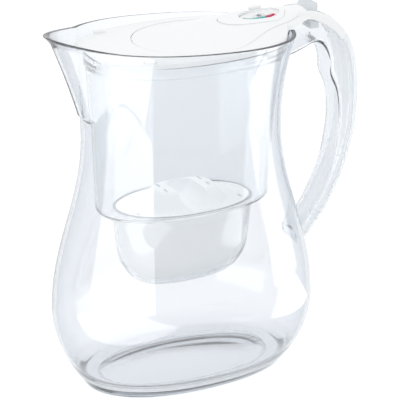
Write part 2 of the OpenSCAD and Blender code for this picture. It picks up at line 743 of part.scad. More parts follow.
bracket_half_w = handle_w / 2 - channel_wall - 0.4;
ear_in = lever_w / 2 + slack;
ear_r = 3.4;
module hinge_bracket() {
  t = bracket_half_w - ear_in;
  floor_z = hinge_z - barrel_r - 0.8;
  seat = [2 * ear_r, neck_half_w + door_gap - 0.1 - ear_in, ear_r - 1];
  color([0.86, 0.88, 0.90]) difference() {
    union() {
      for (s = [-1, 1])
        translate([hinge_x - ear_r, s * (ear_in + t / 2) - t / 2, floor_z])
          cube([2 * ear_r, t, hinge_z + ear_r - floor_z]);
      for (s = [-1, 1])
        translate([hinge_x - ear_r, s * (ear_in + seat.y / 2) - seat.y / 2, hinge_z + 1])
          cube(seat);
      translate([hinge_x - ear_r, -bracket_half_w, floor_z - 1.6])
        cube([2 * ear_r, 2 * bracket_half_w, 1.6]);
    }
    translate([hinge_x, 0, hinge_z]) rotate([90, 0, 0])
      cylinder(r = pin_r + 0.02, h = 2 * bracket_half_w + 2, center = true);
  }
}

module hinge_pin() {
  color("silver") translate([hinge_x, 0, hinge_z]) rotate([90, 0, 0])
    cylinder(r = pin_r, h = 2 * bracket_half_w - 0.4, center = true);
}

// ---- flip door ----

door_lip_in = 0.6;
door_lip_t = 1.8;
screw_r = 0.85;
door_posts = [[-12, 22], [24, 27], [48, 21.5]];

module lip_outline() {
  difference() {
    door_outline(-door_lip_in);
    door_outline(-door_lip_in - door_lip_t);
  }
}

// The gauge's own frame: its middle on the crown, tilted with it
module at_gauge() {
  translate([gauge_x, 0, crown_z(gauge_x, 0)]) rotate([0, -gauge_tilt, 0]) children();
}

module flip_door() {
  end_half_w = door_half(box_end_x) - door_lip_in - door_lip_t / 2;
  color([0.97, 0.97, 0.98]) as_one() difference() {
    union() {
      intersection() {
        translate([0, 0, lid_low]) linear_extrude(lid_tall) door_outline(0);
        difference() {
          under_crown(0, lid_low);
          under_crown(lid_t, lid_low - 1);
        }
      }
      intersection() {
        union() {
          // the lip round the box, which ends short of the jug's rim
          translate([0, 0, door_base_h]) linear_extrude(lid_tall) intersection() {
            lip_outline();
            translate([-door_front, -door_half_w]) square([door_front + box_end_x, 2 * door_half_w]);
          }
          translate([box_end_x - door_lip_t, -end_half_w, door_base_h])
            cube([door_lip_t - eps, 2 * end_half_w, lid_tall]);
          for (p = door_posts) for (s = [-1, 1])
            translate([p.x, s * p.y, door_base_h + liner_t]) cylinder(r = 2.6, h = lid_tall, $fn = 20);
        }
        under_crown(lid_t / 2, lid_low);
      }
    }
    for (p = door_posts) for (s = [-1, 1])
      translate([p.x, s * p.y, door_base_h])
        cylinder(r = screw_r + 0.15, h = liner_screw_l + slack, $fn = 20);
    at_gauge() translate([0, 0, -gauge_h - 12]) linear_extrude(40) gauge_oval(-slack);
  }
}

liner_t = 1.4;
liner_screw_l = 3;
module door_liner() {
  color([0.95, 0.95, 0.96]) translate([0, 0, door_base_h]) difference() {
    linear_extrude(liner_t - slack) intersection() {
      door_outline(-door_lip_in - door_lip_t - slack);
      translate([-door_front, -door_half_w])
        square([door_front + box_end_x - door_lip_t - slack, 2 * door_half_w]);
    }
    for (p = door_posts) for (s = [-1, 1])
      translate([p.x, s * p.y, -1]) cylinder(r = screw_r + 0.2, h = 4, $fn = 24);
  }
}

module screw(length) {
  translate([0, 0, -0.9]) cylinder(r = 1.7, h = 0.9);
  translate([0, 0, -eps]) cylinder(r = screw_r, h = length);
}

module door_liner_screws() {
  color("silver") for (p = door_posts) for (s = [-1, 1])
    translate([p.x, s * p.y, door_base_h]) screw(liner_screw_l);
}

lever_arm_t = 3;
lever_arm_l = 14;
lever_arm_top = crown_z(door_end - 6, lever_w / 2) - lid_t - slack;
module thumb_lever() {
  half_w = lever_w / 2;
  tab_x = hinge_x - 4.6;
  tab_t = 9;
  tab_r = 2.6;
  color([0.75, 0.78, 0.80]) difference() {
    union() {
      translate([hinge_x, 0, hinge_z]) rotate([90, 0, 0])
        cylinder(r = barrel_r, h = lever_w, center = true);
      translate([door_end - lever_arm_l, -half_w, lever_arm_top - lever_arm_t])
        cube([lever_arm_l + 3, lever_w, lever_arm_t]);
      translate([hinge_x - barrel_r, -half_w, hinge_z])
        cube([2 * barrel_r - 1, lever_w, lever_arm_top - hinge_z]);
      translate([tab_x, -half_w, lever_arm_top - lever_arm_t])
        cube([tab_t, lever_w, hinge_z + tab_h - tab_r - lever_arm_top + lever_arm_t]);
      translate([tab_x + tab_r, 0, hinge_z + tab_h - tab_r]) rotate([90, 0, 0])
        cylinder(r = tab_r, h = lever_w, center = true);
      translate([tab_x + tab_t - tab_r, 0, hinge_z + tab_h - tab_r]) rotate([90, 0, 0])
        cylinder(r = tab_r, h = lever_w, center = true);
      translate([tab_x + tab_r, -half_w, hinge_z + tab_h - tab_r])
        cube([tab_t - 2 * tab_r, lever_w, tab_r]);
    }
    translate([hinge_x, 0, hinge_z]) rotate([90, 0, 0])
      cylinder(r = pin_r + pin_gap, h = lever_w + 2, center = true);
    for (s = [-1, 1])
      translate([lever_screw_x, s * lever_w / 4, lever_arm_top - lever_arm_t - 1])
        cylinder(r = screw_r + 0.15, h = lever_arm_t + 2);
  }
}

lever_screw_x = door_end - lever_arm_l + 4;
module thumb_lever_screws() {
  color("silver") for (s = [-1, 1])
    translate([lever_screw_x, s * lever_w / 4, lever_arm_top - lever_arm_t]) screw(lever_arm_t);
}

// ---- filter gauge, in its own frame with the crown's surface at 0 ----

window_at = [5, -2.4];
button_at = [9, 10.7];
gauge_top_t = 1.6;      // thickness of the housing's top under the crown's surface
gauge_wall = 1.4;
window_t = 1.1;
window_seat = -0.8;
dial_t = 0.4;
board_t = 1;
display_size = [9, 6];
cell_r = 6;
cell_t = 2;
cell_at = [-9, 0];
back_t = 1;
board_top = -gauge_h + back_t + 0.4 + cell_t + board_t;

module gauge_oval(inset) {
  polygon(oval(gauge_half_l - inset, gauge_half_w - inset, 40));
}
module button_oval(grow) {
  translate(button_at) polygon(oval(button_half_l + grow, button_half_w + grow, 32, 2.4));
}
module window_oval(inset) {
  translate(window_at) polygon(oval(window_half_l - inset, window_half_w - inset, 40));
}

module gauge_housing() {
  color([0.98, 0.98, 0.99]) as_one() difference() {
    intersection() {
      at_gauge() translate([0, 0, -gauge_h + back_t]) linear_extrude(gauge_h + 6) gauge_oval(0);
      under_crown(-gauge_proud, lid_low);
    }
    at_gauge() {
      translate([0, 0, -gauge_h]) linear_extrude(gauge_h - gauge_top_t) gauge_oval(gauge_wall);
      translate([0, 0, window_seat]) linear_extrude(8) window_oval(-slack / 2);
      translate([0, 0, -4]) linear_extrude(8) window_oval(1);
      translate([0, 0, -4]) linear_extrude(12) button_oval(button_gap);
    }
  }
}

module gauge_window() {
  color([0.85, 0.90, 0.95, 0.4]) at_gauge()
    translate([0, 0, window_seat]) linear_extrude(window_t) window_oval(0);
}

module gauge_dial() {
  color("white") at_gauge() translate([0, 0, -gauge_top_t - dial_t - 0.1]) difference() {
    linear_extrude(dial_t) window_oval(-0.6);
    translate([window_at.x, window_at.y, -1])
      translate([-display_size.x / 2 - slack, -display_size.y / 2 - slack])
        cube([display_size.x + 2 * slack, display_size.y + 2 * slack, 3]);
  }
}

// An arc of the dial between two angles, along the window's edge
module dial_arc(a0, a1) {
  n = 14;
  rim = [for (i = [0:n]) oval_pt(mix(a0, a1, i / n), window_half_l - 1.6, window_half_l - 1.6,
    window_half_w - 1.6)];
  in = [for (i = [n:-1:0]) oval_pt(mix(a0, a1, i / n), window_half_l - 3.2, window_half_l - 3.2,
    window_half_w - 3.2)];
  at_gauge() translate([window_at.x, window_at.y, -gauge_top_t - 0.1]) linear_extrude(0.25)
    polygon(concat(rim, in));
}
module gauge_arc_fresh() {
  color("teal") dial_arc(186, 276);
}
module gauge_arc_spent() {
  color("crimson") dial_arc(279, 318);
}

module gauge_display() {
  color([0.6, 0.66, 0.62]) at_gauge()
    translate([window_at.x - display_size.x / 2, window_at.y - display_size.y / 2, board_top])
      cube([display_size.x, display_size.y, -gauge_top_t + 0.1 - board_top]);
}

module gauge_board() {
  color([0.10, 0.35, 0.22]) at_gauge() translate([0, 0, board_top - board_t])
    linear_extrude(board_t) gauge_oval(gauge_wall + slack);
}

switch_size = [5, 3.6, 1.2];
module gauge_switch() {
  color([0.2, 0.2, 0.2]) at_gauge() translate([button_at.x, button_at.y, board_top]) {
    translate([-switch_size.x / 2, -switch_size.y / 2, 0]) cube(switch_size);
    cylinder(r = 1, h = switch_size.z + 0.4);
  }
}

module coin_cell() {
  color("silver") at_gauge() translate([cell_at.x, cell_at.y, board_top - board_t - cell_t])
    cylinder(r = cell_r, h = cell_t);
}

module cell_contact() {
  t = 0.25;
  color("gold") at_gauge()
    translate([cell_at.x + cell_r + slack, -2, board_top - board_t - cell_t - slack]) {
      cube([t, 4, cell_t + slack]);
      translate([-cell_r, 0, -t + slack]) cube([cell_r + t, 4, t]);
    }
}

module gauge_back() {
  color([0.93, 0.93, 0.94]) at_gauge() translate([0, 0, -gauge_h]) difference() {
    linear_extrude(back_t - 0.1) gauge_oval(0);
    for (x = [-1, 1]) translate([x * (gauge_half_l - 5), 0, -1]) cylinder(r = screw_r + 0.15, h = 4);
  }
}

module gauge_back_screws() {
  color("silver") at_gauge() for (x = [-1, 1])
    translate([x * (gauge_half_l - 5), 0, -gauge_h]) screw(2.4);
}

button_rise = 1.2;
module reset_button() {
  flange_l = 0.8;
  stem_low = board_top + switch_size.z + 0.4 + button_travel + 0.1;
  color("white") at_gauge() {
    translate([0, 0, stem_low]) linear_extrude(gauge_proud + button_rise - stem_low) button_oval(0);
    translate([button_at.x - button_half_l - flange_l, button_at.y - 1, stem_low])
      cube([2 * (button_half_l + flange_l), 2, -gauge_top_t - 0.1 - stem_low]);
  }
}

jug();
handle_back_strip();
reservoir();
cartridge_cap();
cartridge_shell();
cartridge_media();
cartridge_top_screen();
cartridge_base_screen();
lid_frame();
lid_catches();
hinge_bracket();
hinge_pin();
flip_door();
door_liner();
door_liner_screws();
thumb_lever();
thumb_lever_screws();
gauge_housing();
gauge_window();
gauge_dial();
gauge_arc_fresh();
gauge_arc_spent();
gauge_display();
gauge_board();
gauge_switch();
coin_cell();
cell_contact();
gauge_back();
gauge_back_screws();
reset_button();
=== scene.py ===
"""A water filter pitcher with a flip lid, dressed round its CAD frame."""
import math
from math import cos, pi, sin
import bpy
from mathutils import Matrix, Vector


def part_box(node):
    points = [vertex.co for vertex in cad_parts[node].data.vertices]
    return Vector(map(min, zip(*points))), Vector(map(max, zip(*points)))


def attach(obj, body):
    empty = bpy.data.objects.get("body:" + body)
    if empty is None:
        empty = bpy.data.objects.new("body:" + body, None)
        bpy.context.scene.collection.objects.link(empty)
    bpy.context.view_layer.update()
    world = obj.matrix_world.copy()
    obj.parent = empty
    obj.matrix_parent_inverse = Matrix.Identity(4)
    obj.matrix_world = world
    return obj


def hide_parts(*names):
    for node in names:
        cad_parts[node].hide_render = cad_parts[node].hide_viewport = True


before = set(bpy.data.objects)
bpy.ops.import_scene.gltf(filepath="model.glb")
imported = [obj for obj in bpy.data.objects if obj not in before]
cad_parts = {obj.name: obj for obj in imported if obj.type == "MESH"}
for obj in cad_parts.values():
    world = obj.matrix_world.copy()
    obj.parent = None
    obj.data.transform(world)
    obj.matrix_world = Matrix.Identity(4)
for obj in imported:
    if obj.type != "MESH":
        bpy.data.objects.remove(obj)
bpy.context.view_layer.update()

from types import SimpleNamespace

import bmesh
import bpy
from mathutils import Matrix, Vector

bl_info = {
    "name": "Water filter pitcher",
    "version": (1, 0, 0),
    "blender": (4, 5, 0),
    "location": "3D Viewport > Sidebar > Pitcher",
    "description": "Dresses the frame of a water filter pitcher with a flip lid",
    "category": "Object",
}

MM = 0.001


# ---- sizes and colours that a user would change ----

def length(name, description, millimetres):
    """A size in metres, given in millimetres."""
    return bpy.props.FloatProperty(
        name=name, description=description, default=millimetres * MM, precision=4, unit="LENGTH")


def srgb(code):
    """A colour's sRGB hex value as linear red, green and blue."""
    parts = [int(code[i:i + 2], 16) / 255 for i in (0, 2, 4)]
    return tuple(c / 12.92 if c <= 0.04045 else ((c + 0.055) / 1.055) ** 2.4 for c in parts)


def colour(name, description, code):
    return bpy.props.FloatVectorProperty(
        name=name, description=description, subtype="COLOR", min=0, max=1, default=srgb(code))


JUG_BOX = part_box("jug")


class PitcherJugSizes(bpy.types.PropertyGroup):
    rim_h: length("Rim height", "Height of the rim over the middle of the foot", 262)
    foot_half_l: length("Foot half length", "Half length of the foot", 79)
    foot_half_w: length("Foot half width", "Half width of the foot", 47)
    bulge_h: length("Belly height", "Height of the widest part of the belly", 55)
    bulge_half_l: length("Belly half length", "Half length of the belly", 100.4)
    bulge_half_w: length("Belly half width", "Half width of the belly", JUG_BOX[1].y / MM)
    waist_h: length("Waist height", "Height of the waist", 191)
    waist_half_l: length("Waist half length", "Half length of the waist", 76.6)
    waist_half_w: length("Waist half width", "Half width of the waist", 50)
    rim_half_l: length("Rim half length", "Half length of the rim without the spout", 87.3)
    rim_half_w: length("Rim half width", "Half width of the rim", 58)
    wall: length("Wall", "Thickness of the jug's wall", 3.2)
    floor_t: length("Floor", "Thickness of the jug's floor", 3.6)
    foot_hollow_h: length("Foot hollow", "Depth of the hollow under the foot", 4.4)
    foot_ring_w: length("Foot ring", "Width of the foot ring", 10)
    spout_out: length("Spout reach", "How far the spout's tip stands out past the rim's oval", 21.2)
    spout_start_h: length("Keel start", "Height at which the spout's keel starts", 206)
    keel_out: length("Keel depth", "Depth of the keel where it starts", 4)
    spout_half_w: length("Spout half width", "Half width of the spout at the rim", 40)
    keel_half_w: length("Keel half width", "Half width of the keel where it starts", 12)
    tip_rise: length("Tip rise", "How far the tip rises over the line of the rim", 6)


class PitcherHandleSizes(bpy.types.PropertyGroup):
    handle_reach: length("Reach", "Distance from the jug's middle to the back of the handle", 144.1)
    crest_h: length("Crest", "Height of the handle's top", 269.6)
    root_h: length("Root", "Height at which the handle's lower end meets the jug", 88)
    handle_w: length("Width", "Width of the handle", 24.6)
    channel_wall: length("Channel wall", "Thickness of the handle channel's walls", 2.6)
    strip_top_t: length("Strip top", "Thickness of the back strip at its upper end", 5.6)
    strip_root_t: length("Strip root", "Thickness of the back strip at its lower end", 3.2)
    seam_gap: length("Seam", "Gap between the lid's tail and the back strip", 0.5)


class PitcherReservoirSizes(bpy.types.PropertyGroup):
    reservoir_top_h: length("Top", "Height of the reservoir's top edge", 254.4)
    band_h: length("Band", "Height of the band round the reservoir's top", 8.4)
    reservoir_floor_h: length("Floor", "Height of the reservoir's floor", 136)
    hopper_floor_half_l: length("Floor half length", "Half length of the floor", 67.5)
    hopper_floor_half_w: length("Floor half width", "Half width of the floor", 39.5)
    reservoir_front: length("Front", "Distance to the reservoir's front at the top", 72.6)
    reservoir_wall: length("Wall", "Thickness of the reservoir's walls", 2)
    cup_base_h: length("Cup base", "Height of the underside of the cartridge cup", 73)
    cap_half_l: length("Cap half length", "Half length of the cartridge's cap", 51.4)
    cap_half_w: length("Cap half width", "Half width of the cartridge's cap", 32.2)
    cap_band_h: length("Cap band", "Height of the cap's band", 9)
    ridge_gap: length("Ridge distance", "Distance between the cap's two ridges", 34)
    ridge_h: length("Ridge height", "Height of the ridges over the cap", 11.5)
    ridge_l: length("Ridge length", "Length of the ridges", 25)
    trough_r: length("Trough", "Radius of the finger trough between the ridges", 10.5)
    cartridge_wall: length("Cartridge wall", "Thickness of the cartridge's walls", 1.5)


class PitcherLidSizes(bpy.types.PropertyGroup):
    lid_h: length("Lid height", "Height of the lid's flat top", 258)
    lid_t: length("Lid thickness", "Thickness of the lid and of the flip door", 2.2)
    lid_gap: length("Lid gap", "Gap between the lid's edge and the jug's inside", 0.7)
    lid_front: length("Lid front", "Distance to the lid's straight front edge", 71)
    crown_half_w: length("Crown half width", "Half width of the raised crown along the lid", 42)
    crown_neck_half_w: length("Crown at the handle", "Half width of the crown at the handle", 21)
    door_front: length("Door front", "Distance to the door's front edge", 36)
    door_wide_x: length("Door widest", "Place of the door's widest part along X", 12)
    door_half_w: length("Door half width", "Half width of the door", 42.5)
    neck_half_w: length("Neck half width", "Half width of the door's neck over the handle", 10.2)
    door_end: length("Door end", "Place along X at which the door ends", 99)
    door_gap: length("Door gap", "Gap round the flip door", 0.5)
    door_lip_h: length("Door lip", "Depth of the lip round the door's underside", 3.4)
    hinge_x: length("Hinge place", "Place of the hinge along X", 105)
    hinge_z: length("Hinge height", "Height of the hinge", 260.4)
    barrel_r: length("Barrel", "Radius of the thumb lever's barrel", 4.2)
    lever_w: length("Tab width", "Width of the thumb tab", 14)
    tab_h: length("Tab height", "Height of the thumb tab over the hinge", 12.6)


class PitcherGaugeSizes(bpy.types.PropertyGroup):
    gauge_x: length("Gauge place", "Place of the gauge's middle along X", 57)
    gauge_half_l: length("Plate half length", "Half length of the gauge's plate", 26)
    gauge_half_w: length("Plate half width", "Half width of the gauge's plate", 16.5)
    gauge_h: length("Housing depth", "Depth of the gauge's housing", 9.2)
    gauge_proud: length("Plate rise", "How far the plate stands over the door", 0.7)
    window_half_l: length("Window half length", "Half length of the window", 16)
    window_half_w: length("Window half width", "Half width of the window", 10)
    button_half_l: length("Button half length", "Half length of the reset button", 5)
    button_half_w: length("Button half width", "Half width of the reset button", 2.6)
    button_rise: length("Button rise", "How far the button stands over the plate", 1.2)
    gauge_tilt: bpy.props.FloatProperty(
        name="Tilt", description="Tilt of the gauge", default=math.radians(5), subtype="ANGLE", unit="ROTATION")


class PitcherColours(bpy.types.PropertyGroup):
    clear: colour("Clear plastic", "Body colour of the clear plastic", "F7F8FA")
    smoky: colour("Reservoir plastic", "Body colour of the faintly smoky reservoir", "F3F5F6")
    clear_depth: colour("Clear depth", "What the clear plastic takes out of light in its depth", "C4CBD1")
    # Painted edge shade: the darker colour that the clear plastic is given where it is seen edge on
    clear_edge: colour("Clear edge", "Tint of the clear plastic where it is seen edge on", "93A5B6")
    frosted: colour("Frosted strip", "Satin clear plastic of the handle's back strip", "F3F6F8")
    white: colour("White gloss", "Polished white plastic of the lid and the door", "F3F5F6")
    white_satin: colour("White satin", "Moulded white plastic of the cartridge", "F6F8F9")
    milk: colour("Milk white", "Translucent wall of the cartridge", "F6F8F9")
    grey: colour("Clear grey", "Tinted plastic of the thumb tab", "E2E7EA")
    bracket: colour("Bracket", "Moulded plastic of the hinge bracket", "DDE1E4")
    carbon: colour("Carbon", "Granules in the cartridge", "2C2D30")
    teal: colour("Teal ink", "Ink of the gauge's first arc", "35C6C9")
    red: colour("Red ink", "Ink of the gauge's second arc", "E0356B")
    card: colour("Card", "Printed card of the dial", "F7F8F8")
    display: colour("Display", "Face of the gauge's display", "E4E9E8")
    mark: colour("Marks", "Ink of the dial's marks", "2B3136")
    board: colour("Board", "Solder mask of the circuit board", "1D5B3A")
    steel: colour("Steel", "Bright steel of screws, pin and cell", "C9CBCC")
    brass: colour("Brass", "Spring brass of the cell's contact", "D8B468")
    switch: colour("Switch", "Moulded body of the switch", "2A2B2D")
    floor: colour("Floor", "Pale floor", "F4F5F6")


SIZE_GROUPS = {
    "pitcher_jug": PitcherJugSizes,
    "pitcher_handle": PitcherHandleSizes,
    "pitcher_reservoir": PitcherReservoirSizes,
    "pitcher_lid": PitcherLidSizes,
    "pitcher_gauge": PitcherGaugeSizes,
}


# ---- shapes by rule, in millimetres ----

AROUND = 168        # points round the jug's and the reservoir's sections
AROUND_SMALL = 144  # points round the cartridge's sections
JUG_SQUARE = 2.25   # squareness of the oval sections, where 2 is an ellipse
CUP_SQUARE = 2.15
SLACK = 0.3         # gap between pieces that lie next to each other
EDGE_R = 1.2        # rounding of the rim and of the foot
FLOOR_FILLET = 10   # rounding between the jug's wall and its floor, inside
LIP_H = 6           # the spout's lip flares over this height
LIP_OUT = 4
SEAM = 13 / 3       # the lid's tail ends at this place along the handle's knots
KNOT_STEP = 15      # distance between two knots at that place
TAIL_SKIRT = 7.2    # depth of the sides of the lid's tail
NECK_OUT = 17       # half width of the lid's neck where it leaves the lid
NECK_L = 25
CROWN_START, CROWN_FULL = -42, 84
HOPPER_GAP = 2.8    # gap between the hopper and the jug under the band
BAND_T = 2.2
CUP_GAP = 1.4
MOUTH_GAP = 0.6
BUTTON_AT = (9, 10.7)
WINDOW_AT = (5, -2.4)
BUTTON_FOOT = -2.3   # leaves the button its travel over the switch
GAUGE_TOP_T = 1.6
WINDOW_SEAT = -0.8
PRINT_T = 0.1       # thickness of what is printed on the window's back
# Marks round the window: count, first and last angle, drawn in from the edge, across, along, ink
PRINT = [
    ("dial_ticks", 25, 173, 331, 4.2, 0.9, 0.12, "mark_ink"),
    ("fresh_print", 48, 186, 276, 2, 1.4, 0.8, "teal_ink"),
    ("spent_print", 22, 279, 318, 2, 1.4, 0.8, "red_ink"),
]
# The cup's form from its mouth down, as (share of the height, half length drawn in)
CUP_FORM = [(1, 0), (0.8, 0.3), (0.4, 3.2), (0.22, 7.4), (0.09, 14), (0.02, 22)]


def mix(a, b, t):
    return a + (b - a) * t


def step01(t):
    t = min(1, max(0, t))
    return t * t * (3 - 2 * t)


def wave(t):
    return (1 + cos(pi * min(1, max(0, t)))) / 2


def arc(steps, first=0, last=pi / 2):
    """Angles from first to last, both included."""
    return [mix(first, last, i / steps) for i in range(steps + 1)]


def oval_point(a, front, back, half_w, square=JUG_SQUARE):
    x = (-front if cos(a) < 0 else back) * abs(cos(a)) ** (2 / square)
    return x, math.copysign(half_w * abs(sin(a)) ** (2 / square), sin(a))


def oval(half_l, half_w, count=96, square=JUG_SQUARE):
    return [oval_point(2 * pi * i / count, half_l, half_l, half_w, square) for i in range(count)]


def oval_ring(z, front, back, half_w, count, square=JUG_SQUARE):
    return [(*oval_point(2 * pi * i / count, front, back, half_w, square), z) for i in range(count)]


def flat_ring(outline, z):
    return [(x, y, z) for x, y in outline]


def curve_at(knots, u):
    """A point at u knots along a smooth curve through them."""
    last = len(knots) - 1
    i = min(int(u), last - 1)
    t = u - i
    a, b, c, d = (Vector(knots[min(last, max(0, k))]) for k in (i - 1, i, i + 1, i + 2))
    return 0.5 * (2 * b + (c - a) * t + (2 * a - 5 * b + 4 * c - d) * t * t
                  + (3 * b - a - 3 * c + d) * t ** 3)


def bar_section(half_w, m0, m1, r0, r1, k=6):
    """Section of a bar in its own plane: y across, m out from the finger side."""
    turn = arc(k)
    return ([(half_w - r0 + r0 * sin(a), m0 + r0 - r0 * cos(a)) for a in turn]
            + [(half_w - r1 + r1 * cos(a), m1 - r1 + r1 * sin(a)) for a in turn]
            + [(-half_w + r1 - r1 * sin(a), m1 - r1 + r1 * cos(a)) for a in turn]
            + [(-half_w + r0 - r0 * cos(a), m0 + r0 - r0 * sin(a)) for a in turn])


class Form(SimpleNamespace):
    """The pitcher's shapes by rule, in millimetres, from the scene's sizes."""

    def __init__(self, scene):
        values = {}
        for key in SIZE_GROUPS:
            group = getattr(scene, key)
            for name in group.__annotations__:
                is_length = group.bl_rna.properties[name].unit == "LENGTH"
                values[name] = getattr(group, name) / (MM if is_length else 1)
        super().__init__(**values)
        self.tip_x = -self.rim_half_l - self.spout_out
        self.rise_x = -0.75 * self.rim_half_l
        self.jug_floor_h = self.foot_hollow_h + self.floor_t
        self.hopper_top_h = self.reservoir_top_h - self.band_h
        self.mouth_half_l = self.cap_half_l + MOUTH_GAP
        self.mouth_half_w = self.cap_half_w + MOUTH_GAP
        self.cup_h = self.reservoir_floor_h - self.cup_base_h
        self.cap_top_h = self.reservoir_floor_h - 0.4
        self.cap_base_h = self.cap_top_h - self.cap_band_h
        self.shell_base_h = (self.cup_base_h + self.reservoir_wall
                             + CUP_FORM[-1][0] * (self.cup_h - self.reservoir_wall) + SLACK)
        level = self.jug_level(-self.lid_front, self.lid_h - self.lid_t)
        self.lid_half_l = self.jug_half_l(level) - self.wall - self.lid_gap
        self.lid_half_w = self.jug_half_w(level) - self.wall - self.lid_gap
        self.door_base_h = self.lid_h - self.lid_t - self.door_lip_h
        self.box_end_x = self.rim_half_l - 11
        self.slot_end_x = self.hinge_x + 14
        self.back, self.grip = self.handle_knots()

    # the jug

    def jug_half(self, z, foot, bulge, waist, rim):
        if z <= self.bulge_h:
            return foot + (bulge - foot) * (1 - (1 - z / self.bulge_h) ** 2)
        if z <= self.waist_h:
            return mix(waist, bulge, wave((z - self.bulge_h) / (self.waist_h - self.bulge_h)))
        return mix(waist, rim, ((z - self.waist_h) / (self.rim_h - self.waist_h)) ** 2)

    def jug_half_l(self, z):
        return self.jug_half(z, self.foot_half_l, self.bulge_half_l, self.waist_half_l, self.rim_half_l)

    def jug_half_w(self, z):
        return self.jug_half(z, self.foot_half_w, self.bulge_half_w, self.waist_half_w, self.rim_half_w)

    def rim_z(self, x):
        rise = max(0, (x - self.rise_x) / (self.tip_x - self.rise_x)) ** 1.3
        return self.rim_h - 0.06 * x + self.tip_rise * rise

    def jug_level(self, x, z):
        """Level of the jug's section that passes through height z at x."""
        return self.waist_h + (z - self.waist_h) * (self.rim_h - self.waist_h) / (self.rim_z(x) - self.waist_h)

    def jug_point(self, z, a, inset):
        half_l = self.jug_half_l(z) - inset
        x, y = oval_point(a, half_l, half_l, self.jug_half_w(z) - inset)
        up = (z - self.spout_start_h) / (self.rim_h - self.spout_start_h)
        if x < 0 and up > 0:
            half = mix(self.keel_half_w, self.spout_half_w, up ** 0.7) - inset
            depth = step01((z - self.spout_start_h) / 5) * (
                mix(self.keel_out, self.spout_out - LIP_OUT, up)
                + LIP_OUT * max(0, (z - self.rim_h + LIP_H) / LIP_H) ** 2)
            x -= depth * (1 - min(1, abs(y) / half) ** 1.4) ** 1.2
        if z > self.waist_h:
            z = self.waist_h + (z - self.waist_h) * (self.rim_z(x) - self.waist_h) / (self.rim_h - self.waist_h)
        return x, y, z

    def jug_ring(self, z, inset):
        return [self.jug_point(z, 2 * pi * i / AROUND, inset) for i in range(AROUND)]

    def jug_levels(self, low, high):
        """Heights from low to high, closer where the keel starts."""
        levels = [mix(low, high, i / 84) for i in range(85)]
        start = self.spout_start_h
        return sorted(levels + [start + step for step in (-0.5, 0.6, 1.8, 3, 4.2, 5)])

    # the handle

    def handle_knots(self):
        reach, crest, root, rim = self.handle_reach, self.crest_h, self.root_h, self.rim_half_l
        foot = self.jug_half_l(root)
        back = [
            (rim - 16, crest + 0.2), (rim + 12, crest - 0.6), (reach - 31, crest - 5.4),
            (reach - 21, crest - 11.6), (reach - 13, crest - 19.6), (reach - 6.4, crest - 31),
            (reach - 2, crest - 46), (reach, crest - 64), (reach - 0.2, crest - 82),
            (reach - 2.6, root + 78), (reach - 11, root + 51), (reach - 26, root + 22),
            (foot + 2, root - 1), (foot - 8, root - 12),
        ]
        grip = [
            (rim - 12, crest - 38), (rim + 7, crest - 31.6), (rim + 16, crest - 28),
            (reach - 33.6, crest - 28.4), (reach - 28, crest - 34), (reach - 24.6, crest - 43),
            (reach - 23.6, crest - 54.6), (reach - 18.4, crest - 66.6), (reach - 16, crest - 83),
            (reach - 17, root + 80), (reach - 22, root + 55.6), (reach - 35, root + 28),
            (foot - 6, root + 5), (foot - 14, root - 6),
        ]
        return back, grip

    def handle_depth(self, u):
        return (curve_at(self.back, u) - curve_at(self.grip, u)).length

    def strip_t(self, u):
        return mix(self.strip_top_t, self.strip_root_t, (u - SEAM) / (len(self.back) - 1 - SEAM))

    def handle_ring(self, u, section):
        g = curve_at(self.grip, u)
        n = (curve_at(self.back, u) - g).normalized()
        return [(g.x + n.x * m, y, g.y + n.y * m) for y, m in section]

    def handle_bar(self, first, last, section):
        """Rings along the handle, with section(u) as the bar's own section."""
        steps = round((last - first) * 8)
        places = [mix(first, last, i / steps) for i in range(steps + 1)]
        return [self.handle_ring(u, section(u)) for u in places]

    # the reservoir and the cartridge

    def hopper_ring(self, z, inset):
        s = ((z - self.reservoir_floor_h) / (self.hopper_top_h - self.reservoir_floor_h)) ** 1.6
        top_l = self.jug_half_l(self.hopper_top_h) - self.wall - HOPPER_GAP
        top_w = self.jug_half_w(self.hopper_top_h) - self.wall - HOPPER_GAP / 2
        return oval_ring(z, mix(self.hopper_floor_half_l, self.reservoir_front - 1.4, s) - inset,
                         mix(self.hopper_floor_half_l, top_l, s) - inset,
                         mix(self.hopper_floor_half_w, top_w, s) - inset, AROUND)

    def band_ring(self, z, inset):
        return oval_ring(z, self.reservoir_front - inset, self.jug_half_l(z) - self.wall - SLACK - inset,
                         self.jug_half_w(z) - self.wall - SLACK - inset, AROUND)

    def cup_ring(self, u, inset, lift=0, low=None, high=None, gap=0, count=AROUND):
        """A section of the cup, or with low, high and gap of the cartridge in it."""
        share, drawn = curve_at(CUP_FORM, u)
        low = self.cup_base_h if low is None else low
        high = self.reservoir_floor_h if high is None else high
        out = self.reservoir_wall - gap - drawn - inset
        return oval_ring(low + lift + share * (high - low - lift), self.mouth_half_l + out,
                         self.mouth_half_l + out, self.mouth_half_w + out, count, CUP_SQUARE)

    # the lid and the door

    def crown_z(self, x, y):
        rise = (self.crest_h - self.lid_h) * step01((x - CROWN_START) / (CROWN_FULL - CROWN_START)) ** 0.85
        half = mix(self.crown_half_w, self.crown_neck_half_w, step01((x - 45) / (self.rim_half_l - 46)))
        return self.lid_h + rise * (1 - min(1, abs(y) / half) ** 2.8) ** 2

    def door_half(self, x):
        if x <= self.door_wide_x:
            share = (x - self.door_wide_x) / (self.door_front + self.door_wide_x)
            return self.door_half_w * math.sqrt(max(0, 1 - share ** 2))
        share = (x - self.door_wide_x) / (self.door_end + 5 - self.door_wide_x)
        return mix(self.neck_half_w, self.door_half_w, wave(share ** 0.9))

